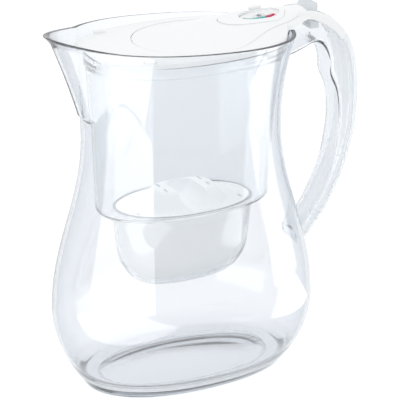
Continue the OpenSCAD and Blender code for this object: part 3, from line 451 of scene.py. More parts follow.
    def door_outline(self, end_x):
        """The door's outline from the front round to end_x and back, anticlockwise."""
        front = [(-self.door_front + (self.door_front + self.door_wide_x) * (1 - cos(a))) for a in arc(30)]
        rest = [mix(self.door_wide_x, self.door_end - 1, i / 60) for i in range(1, 61)]
        side = [(x, self.door_half(x)) for x in front + rest] + [(end_x, self.neck_half_w)]
        return [(x, -y) for x, y in side] + side[:0:-1]

    def lid_outline(self):
        """The lid's outline with its neck over the rim, anticlockwise from the front's middle."""
        start = math.acos(-(self.lid_front / self.lid_half_l) ** (JUG_SQUARE / 2))
        end = math.asin((NECK_OUT / self.lid_half_w) ** (JUG_SQUARE / 2))
        x1 = self.rim_half_l - 8
        side = [(-self.lid_front, 0)]
        side += [oval_point(-mix(start, end, i / 100), self.lid_half_l, self.lid_half_l, self.lid_half_w)
                 for i in range(101)]
        side += [(x1 + NECK_L * t, -mix(self.handle_w / 2 - 0.4, NECK_OUT, wave(t)))
                 for t in (i / 12 for i in range(1, 13))]
        return side + [(x, -y) for x, y in side[:0:-1]]

    # the gauge, in its own frame with the crown's surface at 0

    def gauge_matrix(self):
        place = Vector((self.gauge_x, 0, self.crown_z(self.gauge_x, 0)))
        return Matrix.Translation(place) @ Matrix.Rotation(-self.gauge_tilt, 4, "Y")

    def plate_z(self, x, y):
        """Height of the gauge's plate in its own frame, so that it follows the crown."""
        c, s = cos(self.gauge_tilt), sin(self.gauge_tilt)
        z = 0
        for _ in range(3):
            world_z = self.crown_z(self.gauge_x + x * c - z * s, y) + self.gauge_proud
            z = (world_z - self.crown_z(self.gauge_x, 0) - x * s) / c
        return z


# ---- meshes ----

def mesh_object(name, points, faces, unit=MM):
    """A closed piece from points in millimetres, with its faces turned outwards."""
    mesh = bpy.data.meshes.new(name)
    mesh.from_pydata([[c * unit for c in p] for p in points], [], faces)
    bm = bmesh.new()
    bm.from_mesh(mesh)
    bmesh.ops.remove_doubles(bm, verts=bm.verts, dist=1e-6)
    bmesh.ops.recalc_face_normals(bm, faces=bm.faces)
    bm.to_mesh(mesh)
    bm.free()
    piece = bpy.data.objects.new(name, mesh)
    bpy.context.scene.collection.objects.link(piece)
    return piece


def loft(name, rings, loop=False):
    """A skin from ring to ring. It is shut at both ends, or its last ring meets the first."""
    count = len(rings[0])
    faces = []
    for i in range(len(rings) if loop else len(rings) - 1):
        a, b = i * count, (i + 1) % len(rings) * count
        faces += [(a + j, a + (j + 1) % count, b + (j + 1) % count, b + j) for j in range(count)]
    if not loop:
        faces += [tuple(range(count))[::-1], tuple(range((len(rings) - 1) * count, len(rings) * count))]
    return mesh_object(name, [p for ring in rings for p in ring], faces)


def prism(name, outline, low, high):
    return loft(name, [flat_ring(outline, low), flat_ring(outline, high)])


def peg(name, x, y, low, high, radius, count=32):
    turn = [2 * pi * i / count for i in range(count)]
    return prism(name, [(x + radius * cos(a), y + radius * sin(a)) for a in turn], low, high)


def settle(piece):
    """Turns what a piece's modifiers show into its own plain mesh."""
    graph = bpy.context.evaluated_depsgraph_get()
    graph.update()
    mesh = bpy.data.meshes.new_from_object(piece.evaluated_get(graph))
    piece.modifiers.clear()
    piece.data = mesh
    return piece


def combine(piece, operation, *tools):
    """Adds solids to a piece or cuts them out of it."""
    for tool in tools:
        change = piece.modifiers.new("shape", "BOOLEAN")
        change.operation = operation
        change.solver = "MANIFOLD"
        change.object = tool
    settle(piece)
    for tool in tools:
        bpy.data.objects.remove(tool)
    return piece


def cut(piece, *tools):
    return combine(piece, "DIFFERENCE", *tools)


def join(piece, *tools):
    return combine(piece, "UNION", *tools)


def place(piece, matrix):
    """Moves a piece's mesh from its own frame, given in millimetres, into the row's frame."""
    matrix = matrix.copy()
    matrix.translation *= MM
    piece.data.transform(matrix)
    return piece


def dress(piece, body, finish, *nodes, sharp=35):
    """Gives a piece its finish, its body and the nodes that it stands for."""
    piece.data.materials.clear()
    piece.data.materials.append(material(finish))
    piece.data.shade_smooth()
    piece.data.set_sharp_from_angle(angle=math.radians(sharp))
    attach(piece, body)
    if nodes:
        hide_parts(*nodes)
    return piece


# ---- materials ----

LOOK = "look_"  # tells the scene's materials from the frame's own, which have the same names


def add(tree, kind, inputs=None, **settings):
    """Adds a node. inputs gives its sockets a value, or the socket that feeds them."""
    node = tree.nodes.new(kind)
    for key, value in settings.items():
        setattr(node, key, value)
    for key, value in (inputs or {}).items():
        if isinstance(value, bpy.types.NodeSocket):
            tree.links.new(value, node.inputs[key])
        else:
            node.inputs[key].default_value = value
    return node


def new_material(name):
    made = bpy.data.materials.new(LOOK + name)
    made.use_nodes = True
    made.node_tree.nodes.clear()
    return made, made.node_tree


def paint(name):
    """One of the scene's colours with full alpha."""
    return (*getattr(bpy.context.scene.pitcher_colours, name), 1)


def grain(tree, size_mm, detail=2, offset=0):
    """Noise whose features are about size_mm across."""
    coords = add(tree, "ShaderNodeTexCoord")
    moved = add(tree, "ShaderNodeMapping", {"Vector": coords.outputs["Object"], "Location": (offset, 0, 0)})
    return add(tree, "ShaderNodeTexNoise", {
        "Vector": moved.outputs["Vector"], "Scale": 1 / (size_mm * MM), "Detail": detail}).outputs["Fac"]


def spread(tree, value, low, high):
    """Maps noise from its usual middle range to low and high."""
    return add(tree, "ShaderNodeMapRange", {
        "Value": value, "From Min": 0.3, "From Max": 0.7, "To Min": low, "To Max": high}).outputs["Result"]


def relief(tree, height, depth_mm, strength=1.0):
    return add(tree, "ShaderNodeBump", {
        "Height": height, "Distance": depth_mm * MM, "Strength": strength}).outputs["Normal"]


def vary(tree, value, colour_value, change):
    """The colour a little lighter and darker along a noise."""
    dark = tuple(c * (1 - change) for c in colour_value[:3]) + (1,)
    return add(tree, "ShaderNodeMix", {"Factor": value, "A": dark, "B": colour_value},
               data_type="RGBA").outputs["Result"]


def clear_plastic(name, colour_name, density, roughness, ripple_mm=0.02, edge=0.8, clear=0.97, open_share=0.0):
    """Clear styrene plastic moulded in a polished tool.

    It is glassy, and its colour turns to a painted edge shade, a darker blue grey where the wall is seen edge
    on, by the share edge.
    Its skin has the faint slow waviness of a moulding, and slightly duller patches. clear is how
    much light it lets through, and open_share how much of that passes straight on without bending.
    """
    made, tree = new_material(name)
    ripple = relief(tree, grain(tree, 26, 1), ripple_mm)
    dull = spread(tree, grain(tree, 40, 2, 3), roughness * 0.7, roughness * 1.4)
    # Painted edge shade: toward the silhouette the colour mixes into the darker edge colour, in place of the
    # light lost on the long way through the wall
    facing = add(tree, "ShaderNodeLayerWeight", {"Blend": 0.5}).outputs["Facing"]
    grazing = add(tree, "ShaderNodeMath", {0: facing, 1: 2.2}, operation="POWER").outputs[0]
    share = add(tree, "ShaderNodeMath", {0: grazing, 1: edge}, operation="MULTIPLY").outputs[0]
    tint = add(tree, "ShaderNodeMix", {"Factor": share, "A": paint(colour_name), "B": paint("clear_edge")},
               data_type="RGBA").outputs["Result"]
    plastic = add(tree, "ShaderNodeBsdfPrincipled", {
        "Base Color": tint, "Roughness": dull, "IOR": 1.57,
        "Transmission Weight": clear, "Normal": ripple})
    ray = add(tree, "ShaderNodeLightPath").outputs
    passes = add(tree, "ShaderNodeMath", {0: ray["Is Shadow Ray"], 1: ray["Is Diffuse Ray"]},
                 operation="MAXIMUM").outputs[0]
    passes = add(tree, "ShaderNodeMath", {0: passes, 1: open_share}, operation="MAXIMUM").outputs[0]
    open_way = add(tree, "ShaderNodeBsdfTransparent", {"Color": (1, 1, 1, 1)})
    surface = add(tree, "ShaderNodeMixShader", {0: passes, 1: plastic.outputs[0], 2: open_way.outputs[0]})
    depth = add(tree, "ShaderNodeVolumeAbsorption", {"Color": paint("clear_depth"), "Density": density})
    add(tree, "ShaderNodeOutputMaterial", {"Surface": surface.outputs[0], "Volume": depth.outputs[0]})
    return made


def moulded_plastic(name, colour_name, roughness, skin_mm, skin_depth, glow=0.0):
    """Opaque moulded plastic. A fine tool texture softens its gloss and its shade drifts a little."""
    made, tree = new_material(name)
    skin = grain(tree, skin_mm, 3)
    shade = vary(tree, grain(tree, 30, 2, 5), paint(colour_name), 0.025)
    dull = spread(tree, grain(tree, 9, 3, 2), roughness * 0.85, roughness * 1.2)
    plastic = add(tree, "ShaderNodeBsdfPrincipled", {
        "Base Color": shade, "Roughness": dull, "IOR": 1.5, "Normal": relief(tree, skin, skin_depth),
        "Subsurface Weight": glow, "Subsurface Radius": (1, 1, 1), "Subsurface Scale": 2 * MM})
    add(tree, "ShaderNodeOutputMaterial", {"Surface": plastic.outputs[0]})
    return made


def printed_ink(name, colour_name):
    """Screen printed ink: flat and slightly uneven, with the dots of a mesh in it."""
    made, tree = new_material(name)
    coords = add(tree, "ShaderNodeTexCoord")
    dots = add(tree, "ShaderNodeTexVoronoi", {"Vector": coords.outputs["Object"], "Scale": 1 / (0.4 * MM)})
    shade = vary(tree, dots.outputs["Distance"], paint(colour_name), 0.08)
    ink = add(tree, "ShaderNodeBsdfPrincipled", {
        "Base Color": shade, "Roughness": spread(tree, grain(tree, 0.6), 0.4, 0.6), "IOR": 1.48})
    add(tree, "ShaderNodeOutputMaterial", {"Surface": ink.outputs[0]})
    return made


def granules(name, colour_name):
    """Activated carbon: coal black grains of about a millimetre, each with its own dull facets."""
    made, tree = new_material(name)
    coords = add(tree, "ShaderNodeTexCoord")
    cells = add(tree, "ShaderNodeTexVoronoi", {"Vector": coords.outputs["Object"], "Scale": 1 / (1.1 * MM)})
    shade = vary(tree, cells.outputs["Distance"], paint(colour_name), 0.6)
    coal = add(tree, "ShaderNodeBsdfPrincipled", {
        "Base Color": shade, "Roughness": spread(tree, cells.outputs["Distance"], 0.5, 0.8),
        "Normal": relief(tree, cells.outputs["Distance"], 0.5)})
    add(tree, "ShaderNodeOutputMaterial", {"Surface": coal.outputs[0]})
    return made


def rolled_metal(name, colour_name, roughness):
    """Bright rolled metal. Fine lines along one way stretch its shine."""
    made, tree = new_material(name)
    coords = add(tree, "ShaderNodeTexCoord")
    long_way = add(tree, "ShaderNodeMapping", {"Vector": coords.outputs["Object"], "Scale": (1, 14, 1)})
    lines = add(tree, "ShaderNodeTexNoise", {
        "Vector": long_way.outputs["Vector"], "Scale": 1 / (2 * MM), "Detail": 3}).outputs["Fac"]
    metal = add(tree, "ShaderNodeBsdfPrincipled", {
        "Base Color": vary(tree, lines, paint(colour_name), 0.1), "Metallic": 1.0,
        "Roughness": spread(tree, lines, roughness * 0.8, roughness * 1.3),
        "Normal": relief(tree, lines, 0.01)})
    add(tree, "ShaderNodeOutputMaterial", {"Surface": metal.outputs[0]})
    return made


def circuit_board(name, colour_name):
    """Glass fibre board under green solder mask, with the tracks as faint lighter lines."""
    made, tree = new_material(name)
    coords = add(tree, "ShaderNodeTexCoord")
    tracks = add(tree, "ShaderNodeTexBrick", {
        "Vector": coords.outputs["Object"], "Scale": 1 / (4 * MM), "Mortar Size": 0.06,
        "Color1": paint(colour_name), "Color2": paint(colour_name), "Mortar": (0.10, 0.30, 0.18, 1)})
    board = add(tree, "ShaderNodeBsdfPrincipled", {
        "Base Color": tracks.outputs["Color"], "Roughness": spread(tree, grain(tree, 2), 0.3, 0.42),
        "Normal": relief(tree, tracks.outputs["Fac"], 0.03)})
    add(tree, "ShaderNodeOutputMaterial", {"Surface": board.outputs[0]})
    return made


FINISHES = {
    # polished clear styrene plastic, glassy
    "clear_jug": lambda: clear_plastic("clear_jug", "clear", 18, 0.02),
    "clear_reservoir": lambda: clear_plastic("clear_reservoir", "smoky", 8, 0.03, edge=0.25, clear=0.95),
    # the same plastic from a spark-eroded tool, which blurs what is behind it
    "clear_handle_strip": lambda: clear_plastic("clear_handle_strip", "frosted", 6, 0.3, 0.01, 0.1, 0.5),
    "grey_lever": lambda: clear_plastic("grey_lever", "grey", 8, 0.35, 0.01, 0.2, 0.2),
    "clear_window": lambda: clear_plastic("clear_window", "clear", 3, 0.02, 0.003, 0.05, open_share=0.85),
    # polished white styrene plastic: sharp soft-edged highlights
    "white_lid": lambda: moulded_plastic("white_lid", "white", 0.22, 18, 0.01),
    "white_door": lambda: moulded_plastic("white_door", "white", 0.2, 18, 0.01),
    "white_gauge": lambda: moulded_plastic("white_gauge", "white", 0.2, 12, 0.008),
    "white_button": lambda: moulded_plastic("white_button", "white", 0.3, 6, 0.01),
    # white polypropylene: waxy, with a fine moulded skin drawn at 0.8 mm so that it shows
    "white_cap": lambda: moulded_plastic("white_cap", "white_satin", 0.38, 0.8, 0.012, 0.1),
    "white_liner": lambda: moulded_plastic("white_liner", "white_satin", 0.4, 0.8, 0.012),
    "white_mesh": lambda: moulded_plastic("white_mesh", "white_satin", 0.5, 0.5, 0.02),
    "clear_cartridge": lambda: moulded_plastic("clear_cartridge", "milk", 0.34, 0.9, 0.012, 0.25),
    # glass-filled nylon: matt, with a coarse skin
    "grey_bracket": lambda: moulded_plastic("grey_bracket", "bracket", 0.5, 0.6, 0.03),
    "black_switch": lambda: moulded_plastic("black_switch", "switch", 0.5, 0.5, 0.03),
    "display_glass": lambda: moulded_plastic("display_glass", "display", 0.12, 3, 0.004),
    "carbon": lambda: granules("carbon", "carbon"),
    "steel": lambda: rolled_metal("steel", "steel", 0.25),
    "cell_steel": lambda: rolled_metal("cell_steel", "steel", 0.3),
    "spring_brass": lambda: rolled_metal("spring_brass", "brass", 0.3),
    "green_board": lambda: circuit_board("green_board", "board"),
    "dial_card": lambda: printed_ink("dial_card", "card"),
    "teal_ink": lambda: printed_ink("teal_ink", "teal"),
    "red_ink": lambda: printed_ink("red_ink", "red"),
    "mark_ink": lambda: printed_ink("mark_ink", "mark"),
}


def material(name):
    return bpy.data.materials.get(LOOK + name) or FINISHES[name]()


# ---- Geometry Nodes for what repeats ----

def tree_with(name, sockets):
    """An empty Geometry Nodes tree with named inputs, and its Group Input's outputs."""
    tree = bpy.data.node_groups.new(name, "GeometryNodeTree")
    for label, kind in sockets.items():
        tree.interface.new_socket(label, in_out="INPUT", socket_type="NodeSocket" + kind)
    tree.interface.new_socket("Geometry", in_out="OUTPUT", socket_type="NodeSocketGeometry")
    return tree, add(tree, "NodeGroupInput").outputs


def end_tree(tree, geometry, finish):
    real = add(tree, "GeometryNodeRealizeInstances", {"Geometry": geometry})
    painted = add(tree, "GeometryNodeSetMaterial", {"Geometry": real.outputs[0], "Material": finish})
    add(tree, "NodeGroupOutput", {"Geometry": painted.outputs[0]})
    return tree


def row_tree():
    """Copies of a small block along a straight row."""
    tree, given = tree_with("row_tree", {
        "Count": "Int", "First": "Vector", "Last": "Vector", "Block": "Vector", "Finish": "Material"})
    line = add(tree, "GeometryNodeMeshLine", {
        "Count": given["Count"], "Start Location": given["First"], "Offset": given["Last"]}, mode="END_POINTS")
    block = add(tree, "GeometryNodeMeshCube", {"Size": given["Block"]})
    copies = add(tree, "GeometryNodeInstanceOnPoints", {
        "Points": line.outputs["Mesh"], "Instance": block.outputs["Mesh"]})
    return end_tree(tree, copies.outputs[0], given["Finish"])


def oval_tree():
    """Copies of a small block round part of an oval, each turned along it."""
    tree, given = tree_with("oval_tree", {
        "Count": "Int", "Half Size": "Vector", "From": "Float", "To": "Float", "Block": "Vector",
        "Finish": "Material"})
    circle = add(tree, "GeometryNodeCurvePrimitiveCircle", {"Resolution": 96, "Radius": 1.0}, mode="RADIUS")
    stretched = add(tree, "GeometryNodeTransform", {
        "Geometry": circle.outputs[0], "Scale": given["Half Size"]})
    part = add(tree, "GeometryNodeTrimCurve", {
        "Curve": stretched.outputs[0], "Start": given["From"], "End": given["To"]}, mode="FACTOR")
    points = add(tree, "GeometryNodeCurveToPoints", {
        "Curve": part.outputs[0], "Count": given["Count"]}, mode="COUNT")
    block = add(tree, "GeometryNodeMeshCube", {"Size": given["Block"]})
    copies = add(tree, "GeometryNodeInstanceOnPoints", {
        "Points": points.outputs["Points"], "Instance": block.outputs["Mesh"],
        "Rotation": points.outputs["Rotation"]})
    return end_tree(tree, copies.outputs[0], given["Finish"])


def grow(name, tree_maker, **values):
    """A plain mesh grown by a Geometry Nodes tree with these inputs, in metres."""
    tree = bpy.data.node_groups.get(tree_maker.__name__) or tree_maker()
    piece = mesh_object(name, [], [])
    modifier = piece.modifiers.new("grow", "NODES")
    modifier.node_group = tree
    for item in tree.interface.items_tree:
        label = item.name.replace(" ", "_").lower()
        if item.in_out == "INPUT" and label in values:
            modifier[item.identifier] = values[label]
    return settle(piece)


def blocks(name, count, first, last, size, finish):
    """A straight row of blocks, in millimetres."""
    return grow(name, row_tree, count=count, first=[c * MM for c in first], last=[c * MM for c in last],
                block=[c * MM for c in size], finish=material(finish))


# ---- operators, one for each piece or group of like pieces ----

class PITCHER_OT_stage(bpy.types.Operator):
    """Sets the camera, the pale floor and the soft lamps"""
    bl_idname = "pitcher.stage"
    bl_label = "Stage"

    def execute(self, context):
        scene = context.scene
        self.camera(scene)
        self.world(scene)
        self.floor()
        self.lamps()
        scene.view_settings.view_transform = "Standard"
        for key in ("max_bounces", "transmission_bounces", "transparent_max_bounces"):
            setattr(scene.cycles, key, 32)
        return {"FINISHED"}

    def camera(self, scene):
        azimuth, elevation = math.radians(-28), math.radians(21.25)
        distance, focal_px, frame_px = 1.511, 2033, 400
        target = Vector((14.93, 0, 131)) * MM
        back = Vector((sin(azimuth) * cos(elevation), -cos(azimuth) * cos(elevation), sin(elevation)))
        data = bpy.data.cameras.new("camera")
        data.sensor_width = 36
        data.lens = focal_px / frame_px * data.sensor_width
        data.clip_start, data.clip_end = 0.05, 20
        camera = bpy.data.objects.new("camera", data)
        camera.location = target + distance * back
        camera.rotation_euler = (-back).to_track_quat("-Z", "Y").to_euler()
        scene.collection.objects.link(camera)
        scene.camera = camera

    def world(self, scene):
        """Even white light, which is also the white behind the object."""
        scene.world = bpy.data.worlds.new("studio")
        scene.world.use_nodes = True
        tree = scene.world.node_tree
        tree.nodes.clear()
        light = add(tree, "ShaderNodeBackground", {"Color": (1, 1, 1, 1), "Strength": 1.0})
        add(tree, "ShaderNodeOutputWorld", {"Surface": light.outputs[0]})

    def floor(self):
        """A matt pale sweep, lifted to white where it is seen, which keeps the object's shadow."""
        made, tree = new_material("pale_floor")
        shade = vary(tree, grain(tree, 60, 2), paint("floor"), 0.01)
        matt = add(tree, "ShaderNodeBsdfDiffuse", {"Color": shade})
        lift = add(tree, "ShaderNodeEmission", {"Color": (1, 1, 1, 1), "Strength": 0.2})
        nothing = add(tree, "ShaderNodeEmission", {"Strength": 0.0})
        glow = add(tree, "ShaderNodeMixShader", {0: seen_rays(tree), 1: nothing.outputs[0], 2: lift.outputs[0]})
        whole = add(tree, "ShaderNodeAddShader", {0: matt.outputs[0], 1: glow.outputs[0]})
        add(tree, "ShaderNodeOutputMaterial", {"Surface": whole.outputs[0]})
        sweep = prism("floor", [(6000 * x, 6000 * y) for x, y in oval(1, 1, 64, 2)], -8, 0)
        sweep.data.materials.append(made)

    def lamps(self):
        """Soft light from above, what a white lid lets through, and softboxes for the clear walls."""
        spot, target = Vector((-0.15, -0.25, 1.5)), Vector((0, 0, 0.13))
        unseen = {"visible_transmission": False, "visible_glossy": False}
        down = (spot - target).to_track_quat("Z", "Y").to_euler()
        self.panel("overhead", spot, down, 1.3, 1.3, 0.19, unseen)
        self.panel("under_lid", (0, 0, 0.250), (0, 0, 0), 0.10, 0.05, 3.2, unseen)
        # each softbox stands on the floor and has a foot that runs in under the jug's flare
        for name, azimuth, spread in (("left_softbox", -57, 35), ("right_softbox", 67.5, 14.5)):
            turn, wide = math.radians(azimuth), 2 * math.tan(math.radians(spread))
            parts = (("", 0.42, 0.10, 0.18, pi / 2), ("_foot", 0.30, 0.006, 0.24, pi))
            for part, far, high, deep, tip in parts:
                self.panel(name + part, (far * sin(turn), -far * cos(turn), high), (tip, 0, turn),
                           wide * far, deep, 1.7, {"visible_diffuse": False})

    def panel(self, name, spot, turn, width, height, radiance, seen):
        data = bpy.data.lights.new(name, "AREA")
        data.shape = "RECTANGLE"
        data.size, data.size_y, data.energy = width, height, radiance * pi * width * height
        lamp = bpy.data.objects.new(name, data)
        lamp.location, lamp.rotation_euler = spot, turn
        lamp.visible_camera = False
        for key, value in seen.items():
            setattr(lamp, key, value)
        bpy.context.scene.collection.objects.link(lamp)


def seen_rays(tree):
    """1 for rays that see the floor: from the camera, in gloss and through glass."""
    ray = add(tree, "ShaderNodeLightPath").outputs
    first = add(tree, "ShaderNodeMath", {0: ray["Is Camera Ray"], 1: ray["Is Glossy Ray"]}, operation="MAXIMUM")
    return add(tree, "ShaderNodeMath", {0: first.outputs[0], 1: ray["Is Transmission Ray"]},
               operation="MAXIMUM").outputs[0]


class PITCHER_OT_jug(bpy.types.Operator):
    """Makes the clear jug with its spout, foot and hollow handle channel"""
    bl_idname = "pitcher.jug"
    bl_label = "Jug"

    def execute(self, context):
        form = Form(context.scene)
        jug = self.shell(form)
        channel = self.channel(form)
        dress(join(jug, channel), "jug", "clear_jug", "jug", sharp=40)
        return {"FINISHED"}

    def shell(self, form):
        hollow_l = form.foot_half_l - form.foot_ring_w
        hollow_w = form.foot_half_w - form.foot_ring_w
        r, rim, wall = EDGE_R, form.rim_h, form.wall
        foot_l, foot_w = form.foot_half_l - r, form.foot_half_w - r
        rings = [oval_ring(form.foot_hollow_h * (1 - (i / 5) ** 2), hollow_l - 2 + 0.4 * i,
                           hollow_l - 2 + 0.4 * i, hollow_w - 2 + 0.4 * i, AROUND) for i in range(6)]
        rings.append(oval_ring(0, foot_l, foot_l, foot_w, AROUND))
        rings += [self.foot_blend(form, foot_l, foot_w, a) for a in arc(4)[1:]]
        outer = form.jug_levels(r + 2, rim - LIP_H)
        rings += [form.jug_ring(z, 0) for z in outer]
        rings += [form.jug_ring(rim - LIP_H * (1 - t / 4), 0) for t in (1, 2, 3)]
        rings += [form.jug_ring(rim - r + r * sin(a), r - r * cos(a)) for a in arc(5)]
        rings += [form.jug_ring(rim - r + r * cos(a), wall - r + r * sin(a)) for a in arc(5)]
        rings += [form.jug_ring(rim - LIP_H * (1 - t / 4), wall) for t in (3, 2, 1)]
        fillet = FLOOR_FILLET
        inner = form.jug_levels(form.jug_floor_h + fillet, rim - LIP_H)
        rings += [form.jug_ring(z, wall) for z in reversed(inner)]
        rings += [form.jug_ring(form.jug_floor_h + fillet * (1 - sin(a)), wall + fillet * (1 - cos(a)))
                  for a in arc(8)[1:]]
        return loft("jug_clear", rings)

    def foot_blend(self, form, foot_l, foot_w, a):
        """The rounding from the flat foot ring up into the belly."""
        r = EDGE_R
        z = r * (1 - cos(a))
        share = sin(a)
        half_l = mix(foot_l, form.jug_half_l(r), share)
        half_w = mix(foot_w, form.jug_half_w(r), share)
        return oval_ring(z, half_l, half_l, half_w, AROUND)

    def channel(self, form):
        half_w, wall, end = form.handle_w / 2, form.channel_wall, len(form.back) - 1

        def outside(u):
            back = TAIL_SKIRT if u <= SEAM else form.strip_t(u)
            return bar_section(half_w, 0, form.handle_depth(u) - SLACK - back, 6 if u <= 3 else 4.2, 0.3)

        def inside(u):
            return bar_section(half_w - wall, wall, form.handle_depth(u), 2, 0.3)

        channel = loft("channel", form.handle_bar(0, end, outside))
        hollow = loft("hollow", form.handle_bar(0, end, inside))
        core = loft("core", [form.jug_ring(z, form.wall / 2) for z in form.jug_levels(4, form.rim_h - EDGE_R)])
        above = prism("above", oval(form.rim_half_l - form.wall / 2, form.rim_half_w - form.wall / 2, AROUND),
                      form.waist_h, form.crest_h)
        return cut(channel, hollow, core, above)


class PITCHER_OT_handle_strip(bpy.types.Operator):
    """Makes the satin back strip that closes the handle channel"""
    bl_idname = "pitcher.handle_strip"
    bl_label = "Handle strip"

    def execute(self, context):
        form = Form(context.scene)
        first, end = SEAM + form.seam_gap / 2 / KNOT_STEP, len(form.back) - 1
        tongue, rail, rail_h = form.handle_w / 2 - form.channel_wall - SLACK, 1.6, 3

        def skin(u):
            low, t = form.handle_depth(u) - form.strip_t(u), form.strip_t(u)
            return bar_section(form.handle_w / 2, low, low + t, 0.3, min(3.6, t - 0.6))

        def rails(u):
            low = form.handle_depth(u) - form.strip_t(u)
            return bar_section(tongue, low - rail_h, low + 1, 0.3, 0.3)

        def groove(u):
            low = form.handle_depth(u) - form.strip_t(u)
            return bar_section(tongue - rail, low - rail_h - 1, low + 0.6, 0.3, 0.3)

        strip = loft("handle_strip", form.handle_bar(first, end, skin))
        core = loft("core", [form.jug_ring(z, -SLACK) for z in form.jug_levels(4, form.rim_h - EDGE_R)])
        join(strip, loft("rails", form.handle_bar(first, end, rails)))
        cut(strip, loft("groove", form.handle_bar(first - 0.1, end, groove)), core)
        dress(strip, "jug", "clear_handle_strip", "handle_back_strip")
        return {"FINISHED"}


class PITCHER_OT_reservoir(bpy.types.Operator):
    """Makes the clear lift-out reservoir with the cup that holds the cartridge"""
    bl_idname = "pitcher.reservoir"
    bl_label = "Reservoir"

    def execute(self, context):
        form = Form(context.scene)
        t, floor, top = form.reservoir_wall, form.reservoir_floor_h, form.hopper_top_h
        last = len(CUP_FORM) - 1
        down = [last * (1 - i / 30) for i in range(31)]
        walls = [floor + 2.4 + (top - floor - 2.8) * i / 30 for i in range(31)]
        rings = [oval_ring(form.cup_base_h, form.mouth_half_l - 24, form.mouth_half_l - 24,
                           form.mouth_half_w - 24, AROUND)]
        rings += [form.cup_ring(u, 0) for u in down[:-2]]
        rings.append([(x, y, floor - t) for x, y, _ in form.cup_ring(0, 0)])
        for a in arc(6):
            base = form.hopper_ring(floor, 2.4 * (1 - sin(a)))
            rings.append([(x, y, floor - t + 4.4 * (1 - cos(a))) for x, y, _ in base])
        rings += [form.hopper_ring(z, 0) for z in walls[1:]]
        rings += self.band(form)
        rings += [form.hopper_ring(z, t) for z in reversed(walls[1:])]
        for a in arc(6):
            base = form.hopper_ring(floor, t + 2.4 * (1 - cos(a)))
            rings.append([(x, y, floor + 2.4 * (1 - sin(a))) for x, y, _ in base])
        rings += [form.cup_ring(u, t, t if u > 1 else t * u) for u in reversed(down[1:])]
        reservoir = loft("reservoir_clear", rings)
        drains = [peg("drain", x, 0, form.cup_base_h - 1, form.cup_base_h + t + 3, 2.6)
                  for x in range(-20, 21, 10)]
        dress(cut(reservoir, *drains), "reservoir", "clear_reservoir", "reservoir", sharp=40)
        return {"FINISHED"}

    def band(self, form):
        low, high, r = form.hopper_top_h, form.reservoir_top_h, 0.5
        rings = [form.band_ring(low + r * (1 - sin(a)), r * (1 - cos(a))) for a in reversed(arc(3))]
        rings += [form.band_ring(high - r + r * sin(a), r * (1 - cos(a))) for a in arc(3)]
        rings += [form.band_ring(high - r + r * cos(a), BAND_T - r + r * sin(a)) for a in arc(3)]
        return rings + [form.band_ring(low + form.reservoir_wall, BAND_T)]


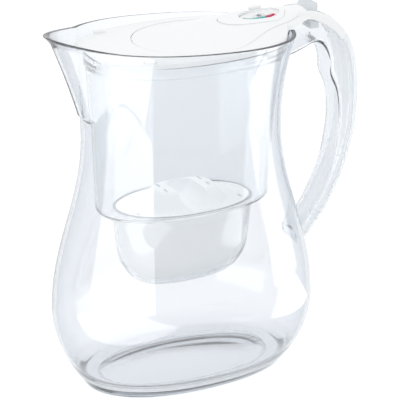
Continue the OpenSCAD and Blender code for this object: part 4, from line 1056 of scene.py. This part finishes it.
class PITCHER_OT_cartridge(bpy.types.Operator):
    """Makes the cartridge's cap with its ridges and trough, and its translucent body"""
    bl_idname = "pitcher.cartridge"
    bl_label = "Cartridge"

    def execute(self, context):
        form = Form(context.scene)
        cap = join(self.band(form), self.ridges(form))
        cut(cap, self.trough(form), *self.vents(form))
        dress(cap, "cartridge", "white_cap", "cartridge_cap", sharp=50)
        self.shell(form)
        return {"FINISHED"}

    def band(self, form):
        low, high, r, lip, t = form.cap_base_h, form.cap_top_h, 1.1, 2.2, form.cartridge_wall

        def ring(z, inset):
            return oval_ring(z, form.cap_half_l - inset, form.cap_half_l - inset, form.cap_half_w - inset,
                             AROUND_SMALL, CUP_SQUARE)

        rings = [ring(high - 1.2 - 2 * t, t), ring(low, t), ring(low, r / 2)]
        rings += [ring(low + r / 2 * (1 - cos(a)), r / 2 * (1 - sin(a))) for a in arc(4)[1:]]
        rings += [ring(high - r + r * sin(a), r * (1 - cos(a))) for a in arc(6)]
        rings += [ring(high - 0.5 * (1 - cos(a)), lip - 0.5 + 0.5 * sin(a)) for a in arc(3)]
        rings += [ring(high - 1.2 + 0.4 * (1 - sin(a)), lip + 0.6 * (1 - cos(a))) for a in arc(3)]
        return loft("cartridge_cap_white", rings)

    def ridges(self, form):
        base_z, top_z = form.cap_top_h - 1.25, form.cap_top_h + form.ridge_h
        top_l, top_w, top_square, rounding = form.ridge_gap / 2 + 5.4, form.ridge_l / 2 + 0.8, 3, 1.0

        def ring(z, half_l, half_w, square):
            return oval_ring(z, half_l, half_l, half_w, AROUND_SMALL, square)

        rings = []
        for i in range(14):
            s = i / 14
            flare = 1.6 * (1 - s) ** 6
            rings.append(ring(mix(base_z, top_z, s), mix(form.ridge_gap / 2 + 15, top_l, s) + flare,
                              mix(form.cap_half_w - 8, top_w, s) + flare, mix(JUG_SQUARE, top_square, s)))
        for a in arc(4)[1:]:
            inset = rounding * (1 - cos(a))
            rings.append(ring(top_z - rounding + rounding * sin(a), top_l - inset, top_w - inset, top_square))
        return loft("ridges", rings)

    def trough(self, form):
        """A scoop that falls slightly towards the front and ends in a round back."""
        r, steps = form.trough_r, 48
        matrix = (Matrix.Translation((0, form.ridge_l / 4, form.cap_top_h + form.ridge_h))
                  @ Matrix.Rotation(math.radians(96), 4, "X"))
        turn = [2 * pi * i / steps for i in range(steps)]
        rings = [[(r * sin(b) * cos(a), r * sin(b) * sin(a), -r * 0.5 * cos(b)) for a in turn]
                 for b in arc(8)[1:]]
        rings.append([(r * cos(a), r * sin(a), form.cap_half_w + form.ridge_l) for a in turn])
        return place(loft("trough", rings), matrix)

    def vents(self, form):
        top, t = form.cap_top_h, form.cartridge_wall
        rows = []
        for x in (-form.ridge_gap / 2, form.ridge_gap / 2):
            rows.append(blocks("ridge_vents", 2, (x, -form.ridge_l / 4, top + form.ridge_h - 1),
                               (x, form.ridge_l / 4, top + form.ridge_h - 1), (1.8, 6.5, 4), "white_cap"))
        edge, y = form.cap_half_l - 10, -form.cap_half_w / 3
        rows.append(blocks("plate_vents", 2, (-edge, y, top - t), (edge, y, top - t), (1.8, 6.5, 5 * t),
                           "white_cap"))
        return rows

    def shell(self, form):
        t, last = form.cartridge_wall, len(CUP_FORM) - 1
        gap = form.reservoir_wall + CUP_GAP

        def ring(u, inset, lift=0):
            return form.cup_ring(u, inset, lift, form.shell_base_h, form.cap_base_h, gap, AROUND_SMALL)

        down = [last * (1 - i / 24) for i in range(25)]
        base = form.mouth_half_l - 26
        rings = [oval_ring(form.shell_base_h, base, base, form.mouth_half_w - 26, AROUND_SMALL)]
        rings += [ring(u, 0) for u in down]
        rings += [ring(u, t, t * min(1, u)) for u in reversed(down)]
        shell = loft("cartridge_body", rings)
        drains = [peg("drain", x, 0, form.cup_base_h, form.cup_base_h + 12, 2) for x in range(-18, 19, 9)]
        dress(cut(shell, *drains), "cartridge", "clear_cartridge", "cartridge_shell", sharp=50)


def rounded_plate(name, outer, inner, top, drop, low, steps=26, edge=0.6, wall=2.0):
    """A plate between two outlines with as many points, with a rounded outer edge and a wall under it.

    top(x, y) is its upper face, drop its thickness and low(x, y) the foot of the wall.
    """
    chains = []
    for i, (x, y) in enumerate(outer):
        before, after = Vector(outer[i - 1]), Vector(outer[(i + 1) % len(outer)])
        along = (after - before).normalized()
        inward = Vector((-along.y, along.x))

        def at(inset, down, low_z=None):
            px, py = x + inward.x * inset, y + inward.y * inset
            return px, py, (top(px, py) - down if low_z is None else low_z)

        foot = min(low(x, y), top(x, y) - drop)
        has_wall = foot < top(x, y) - drop - 0.3
        chain = [at(0, 0, foot)]
        chain += [at(edge * (1 - sin(a)), edge * (1 - cos(a))) for a in reversed(arc(4))]
        start = Vector(at(edge, 0)[:2])
        end = Vector(inner[i])
        spots = [start.lerp(end, k / steps) for k in range(1, steps + 1)]
        chain += [(p.x, p.y, top(p.x, p.y)) for p in spots]
        chain += [(p.x, p.y, top(p.x, p.y) - drop) for p in reversed(spots)]
        chain += [at(wall, drop), at(wall, 0, foot) if has_wall else at(wall * 0.6, drop)]
        chains.append(chain)
    return loft(name, chains, loop=True)


def respaced(outline, count):
    """The closed outline with evenly spaced points."""
    points = [Vector(p) for p in outline] + [Vector(outline[0])]
    reach = [0]
    for a, b in zip(points, points[1:]):
        reach.append(reach[-1] + (b - a).length)
    made, k = [], 0
    for i in range(count):
        want = reach[-1] * i / count
        while reach[k + 1] < want:
            k += 1
        made.append(tuple(points[k].lerp(points[k + 1], (want - reach[k]) / (reach[k + 1] - reach[k]))))
    return made


def widened(outline, margin):
    """The anticlockwise outline, let out by a margin."""
    made = []
    for i, (x, y) in enumerate(outline):
        a, b = Vector(outline[i - 1]), Vector(outline[(i + 1) % len(outline)])
        along = (b - a).normalized()
        made.append((x + along.y * margin, y - along.x * margin))
    return made


class PITCHER_OT_lid(bpy.types.Operator):
    """Makes the lid's frame, with its crown and its tail over the handle"""
    bl_idname = "pitcher.lid"
    bl_label = "Lid"

    def execute(self, context):
        form = Form(context.scene)
        outer = respaced(form.lid_outline(), 420)
        inner = [(mix(form.door_wide_x, x, 0.4 if x < form.door_wide_x else 0.9), 0.4 * y) for x, y in outer]

        def skirt(x, y):
            if x < form.rim_half_l - 11:
                return form.reservoir_top_h + 0.2
            return form.rim_z(x) + 0.5 if x < form.rim_half_l + 3 else 999

        lid = rounded_plate("lid_white", outer, inner, form.crown_z, form.lid_t, skirt)
        slot = prism("slot", widened(form.door_outline(form.slot_end_x), form.door_gap), 230, 320)
        cut(join(lid, self.tail(form)), slot)
        dress(lid, "lid", "white_lid", "lid_frame", sharp=42)
        return {"FINISHED"}

    def tail(self, form):
        half_w, end = form.handle_w / 2, SEAM - form.seam_gap / 2 / KNOT_STEP

        def outside(u):
            depth = form.handle_depth(u)
            return bar_section(half_w, depth - TAIL_SKIRT, depth, 0.3, 3.6)

        def inside(u):
            depth = form.handle_depth(u)
            return bar_section(half_w - form.lid_t, depth - TAIL_SKIRT - 1, depth - form.lid_t - 0.2, 0.3, 2)

        tail = loft("tail", form.handle_bar(0, end, outside))
        return cut(tail, loft("tail_hollow", form.handle_bar(0, end + 0.2, inside)))


class PITCHER_OT_door(bpy.types.Operator):
    """Makes the flip door with its lip and its seat for the gauge"""
    bl_idname = "pitcher.door"
    bl_label = "Flip door"

    def execute(self, context):
        form = Form(context.scene)
        outer = respaced(form.door_outline(form.door_end), 360)
        reach = cos(form.gauge_tilt)
        half_l, half_w = (form.gauge_half_l + SLACK) * reach, form.gauge_half_w + SLACK
        inner = []
        for x, y in outer:
            dx, dy = x - form.gauge_x, y
            far = math.hypot(dx, dy)
            along, across = abs(dx / far) / half_l, abs(dy / far) / half_w
            r = (along ** JUG_SQUARE + across ** JUG_SQUARE) ** (-1 / JUG_SQUARE)
            inner.append((form.gauge_x + dx / far * r, dy / far * r))

        def lip(x, y):
            return form.door_base_h if x < form.box_end_x else 999

        door = rounded_plate("door_white", outer, inner, form.crown_z, form.lid_t, lip, edge=0.7, wall=1.8)
        dress(door, "door", "white_door", "flip_door", sharp=42)
        return {"FINISHED"}


class PITCHER_OT_thumb_tab(bpy.types.Operator):
    """Makes the tinted thumb tab that swings the door on its hinge"""
    bl_idname = "pitcher.thumb_tab"
    bl_label = "Thumb tab"

    def execute(self, context):
        form = Form(context.scene)
        x, z, half = form.hinge_x, form.hinge_z, form.lever_w / 2
        arm_top = form.crown_z(form.door_end - 6, half) - form.lid_t - SLACK
        top = z + form.tab_h
        turn = arc(14, -pi * 0.85, 0.25 * pi)
        barrel = [(x + form.barrel_r * cos(a), z + form.barrel_r * sin(a)) for a in turn]
        face = [(x + 4.4, arm_top + 1), (x + 4.6, top - 3), (x + 3.8, top - 1), (x + 2, top),
                (x - 2, top), (x - 3.8, top - 0.7), (x - 4.8, top - 2.4), (x - 5.4, arm_top + 4)]
        arm = [(x - 6, arm_top), (form.door_end - 14, arm_top), (form.door_end - 14, arm_top - 3),
               (x - 6, arm_top - 3)]
        side = barrel + face + arm
        tab = loft("thumb_tab", [[(px, y, pz) for px, pz in side] for y in (-half, half)])
        rounded = tab.modifiers.new("edges", "BEVEL")
        rounded.width, rounded.segments, rounded.limit_method = 0.7 * MM, 3, "ANGLE"
        rounded.angle_limit = math.radians(50)
        settle(tab)
        bore = place(peg("bore", 0, 0, -half - 1, half + 1, 1.55),
                     Matrix.Translation((x, 0, z)) @ Matrix.Rotation(pi / 2, 4, "X"))
        grips = blocks("grips", 4, (x - 2.4, 0, top), (x + 2.4, 0, top), (0.5, 2 * half - 4, 0.5), "grey_lever")
        dress(cut(tab, bore, grips), "door", "grey_lever", "thumb_lever", sharp=50)
        return {"FINISHED"}


class PITCHER_OT_gauge(bpy.types.Operator):
    """Makes the gauge's plate, window and reset button"""
    bl_idname = "pitcher.gauge"
    bl_label = "Filter gauge"

    def execute(self, context):
        form = Form(context.scene)
        frame_at = form.gauge_matrix()
        outer = oval(form.gauge_half_l, form.gauge_half_w, 160)
        hole = [(x + WINDOW_AT[0], y + WINDOW_AT[1])
                for x, y in oval(form.window_half_l + 0.15, form.window_half_w + 0.15, 160)]
        plate = rounded_plate("gauge_plate", outer, hole, form.plate_z, 1.9, lambda x, y: 1 - form.gauge_h,
                              steps=12, edge=0.45, wall=1.4)
        well = prism("well", self.button_outline(form, 0.3), -6, 8)
        dress(place(cut(plate, well), frame_at), "door", "white_gauge", "gauge_housing", sharp=42)
        self.window(form, frame_at)
        self.button(form, frame_at)
        return {"FINISHED"}

    def button_outline(self, form, grow):
        return [(x + BUTTON_AT[0], y + BUTTON_AT[1])
                for x, y in oval(form.button_half_l + grow, form.button_half_w + grow, 72, 2.4)]

    def window(self, form, frame_at):
        def ring(z, inset):
            base = oval(form.window_half_l - inset, form.window_half_w - inset, 120)
            return [(x + WINDOW_AT[0], y + WINDOW_AT[1], z) for x, y in base]

        thick, r = 1.1, 0.3
        rings = [ring(WINDOW_SEAT, 0), ring(WINDOW_SEAT + thick - r, 0)]
        rings += [ring(WINDOW_SEAT + thick - r + r * sin(a), r * (1 - cos(a))) for a in arc(4)[1:]]
        dress(place(loft("gauge_lens", rings), frame_at), "door", "clear_window", "gauge_window")

    def button(self, form, frame_at):
        top, r = form.gauge_proud + form.button_rise, 0.7

        def ring(z, inset):
            return flat_ring(self.button_outline(form, -inset), z)

        rings = [ring(BUTTON_FOOT, 0), ring(top - r, 0)]
        rings += [ring(top - r + r * sin(a), r * (1 - cos(a))) for a in arc(6)[1:]]
        rings += [ring(top + 0.05, 1.3), ring(top + 0.08, 2.0)]  # its top is slightly crowned
        dress(place(loft("reset_button_cap", rings), frame_at), "button", "white_button", "reset_button")


class PITCHER_OT_dial(bpy.types.Operator):
    """Makes the dial's generic marks and the bars on its display"""
    bl_idname = "pitcher.dial"
    bl_label = "Dial marks"

    def execute(self, context):
        form = Form(context.scene)
        at_window = form.gauge_matrix() @ Matrix.Translation((*WINDOW_AT, 0))
        behind_glass = at_window @ Matrix.Translation((0, 0, WINDOW_SEAT - 0.02 - PRINT_T / 2))
        for name, count, first, last, inset, across, along, ink in PRINT:
            marks = grow(name, oval_tree, count=count,
                         half_size=((form.window_half_l - inset) * MM, (form.window_half_w - inset) * MM, 1),
                         block=(PRINT_T * MM, across * MM, along * MM), finish=material(ink),
                         **{"from": first / 360, "to": last / 360})
            dress(place(marks, behind_glass), "door", ink)
        bars = blocks("level_bars", 4, (-1.2, 0, 0), (1.2, 0, 0), (0.62, 5, 0.04), "mark_ink")
        over_display = Matrix.Translation((0, 0, 0.13 - GAUGE_TOP_T))
        dress(place(bars, at_window @ over_display), "door", "mark_ink")
        return {"FINISHED"}


class PITCHER_OT_inner_parts(bpy.types.Operator):
    """Gives the frame's own nodes their finishes"""
    bl_idname = "pitcher.inner_parts"
    bl_label = "Inner parts"

    def execute(self, context):
        finish_of = {
            "hinge_bracket": "grey_bracket", "hinge_pin": "steel", "lid_catches": "white_lid",
            "gauge_dial": "dial_card", "gauge_arc_fresh": "teal_ink", "gauge_arc_spent": "red_ink",
            "gauge_display": "display_glass", "door_liner": "white_liner",
            "door_liner_screws": "steel", "thumb_lever_screws": "steel",
            "gauge_board": "green_board", "gauge_switch": "black_switch",
            "coin_cell": "cell_steel", "cell_contact": "spring_brass", "gauge_back": "white_liner",
            "gauge_back_screws": "steel", "cartridge_media": "carbon",
            "cartridge_top_screen": "white_mesh", "cartridge_base_screen": "white_mesh",
        }
        for name, finish in finish_of.items():
            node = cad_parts[name]
            if not node.material_slots:
                node.data.materials.append(material(finish))
            for slot in node.material_slots:
                slot.material = material(finish)
        return {"FINISHED"}


OPERATORS = [
    PITCHER_OT_stage, PITCHER_OT_jug, PITCHER_OT_handle_strip, PITCHER_OT_reservoir,
    PITCHER_OT_cartridge, PITCHER_OT_lid, PITCHER_OT_door, PITCHER_OT_thumb_tab,
    PITCHER_OT_gauge, PITCHER_OT_dial, PITCHER_OT_inner_parts,
]


class PITCHER_PT_panel(bpy.types.Panel):
    """Lists the pitcher's pieces"""
    bl_idname = "PITCHER_PT_panel"
    bl_label = "Water filter pitcher"
    bl_space_type = "VIEW_3D"
    bl_region_type = "UI"
    bl_category = "Pitcher"

    def draw(self, context):
        for operator in OPERATORS:
            self.layout.operator(operator.bl_idname)
        for key, group in {**SIZE_GROUPS, "pitcher_colours": PitcherColours}.items():
            box = self.layout.box()
            for name in group.__annotations__:
                box.prop(getattr(context.scene, key), name)


CLASSES = [*SIZE_GROUPS.values(), PitcherColours, *OPERATORS, PITCHER_PT_panel]


def register():
    for cls in CLASSES:
        bpy.utils.register_class(cls)
    for key, group in {**SIZE_GROUPS, "pitcher_colours": PitcherColours}.items():
        setattr(bpy.types.Scene, key, bpy.props.PointerProperty(type=group))


def unregister():
    for key in [*SIZE_GROUPS, "pitcher_colours"]:
        delattr(bpy.types.Scene, key)
    for cls in reversed(CLASSES):
        bpy.utils.unregister_class(cls)


def main():
    register()
    for operator in OPERATORS:
        namespace, name = operator.bl_idname.split(".")
        getattr(getattr(bpy.ops, namespace), name)()


if __name__ == "__main__":
    main()
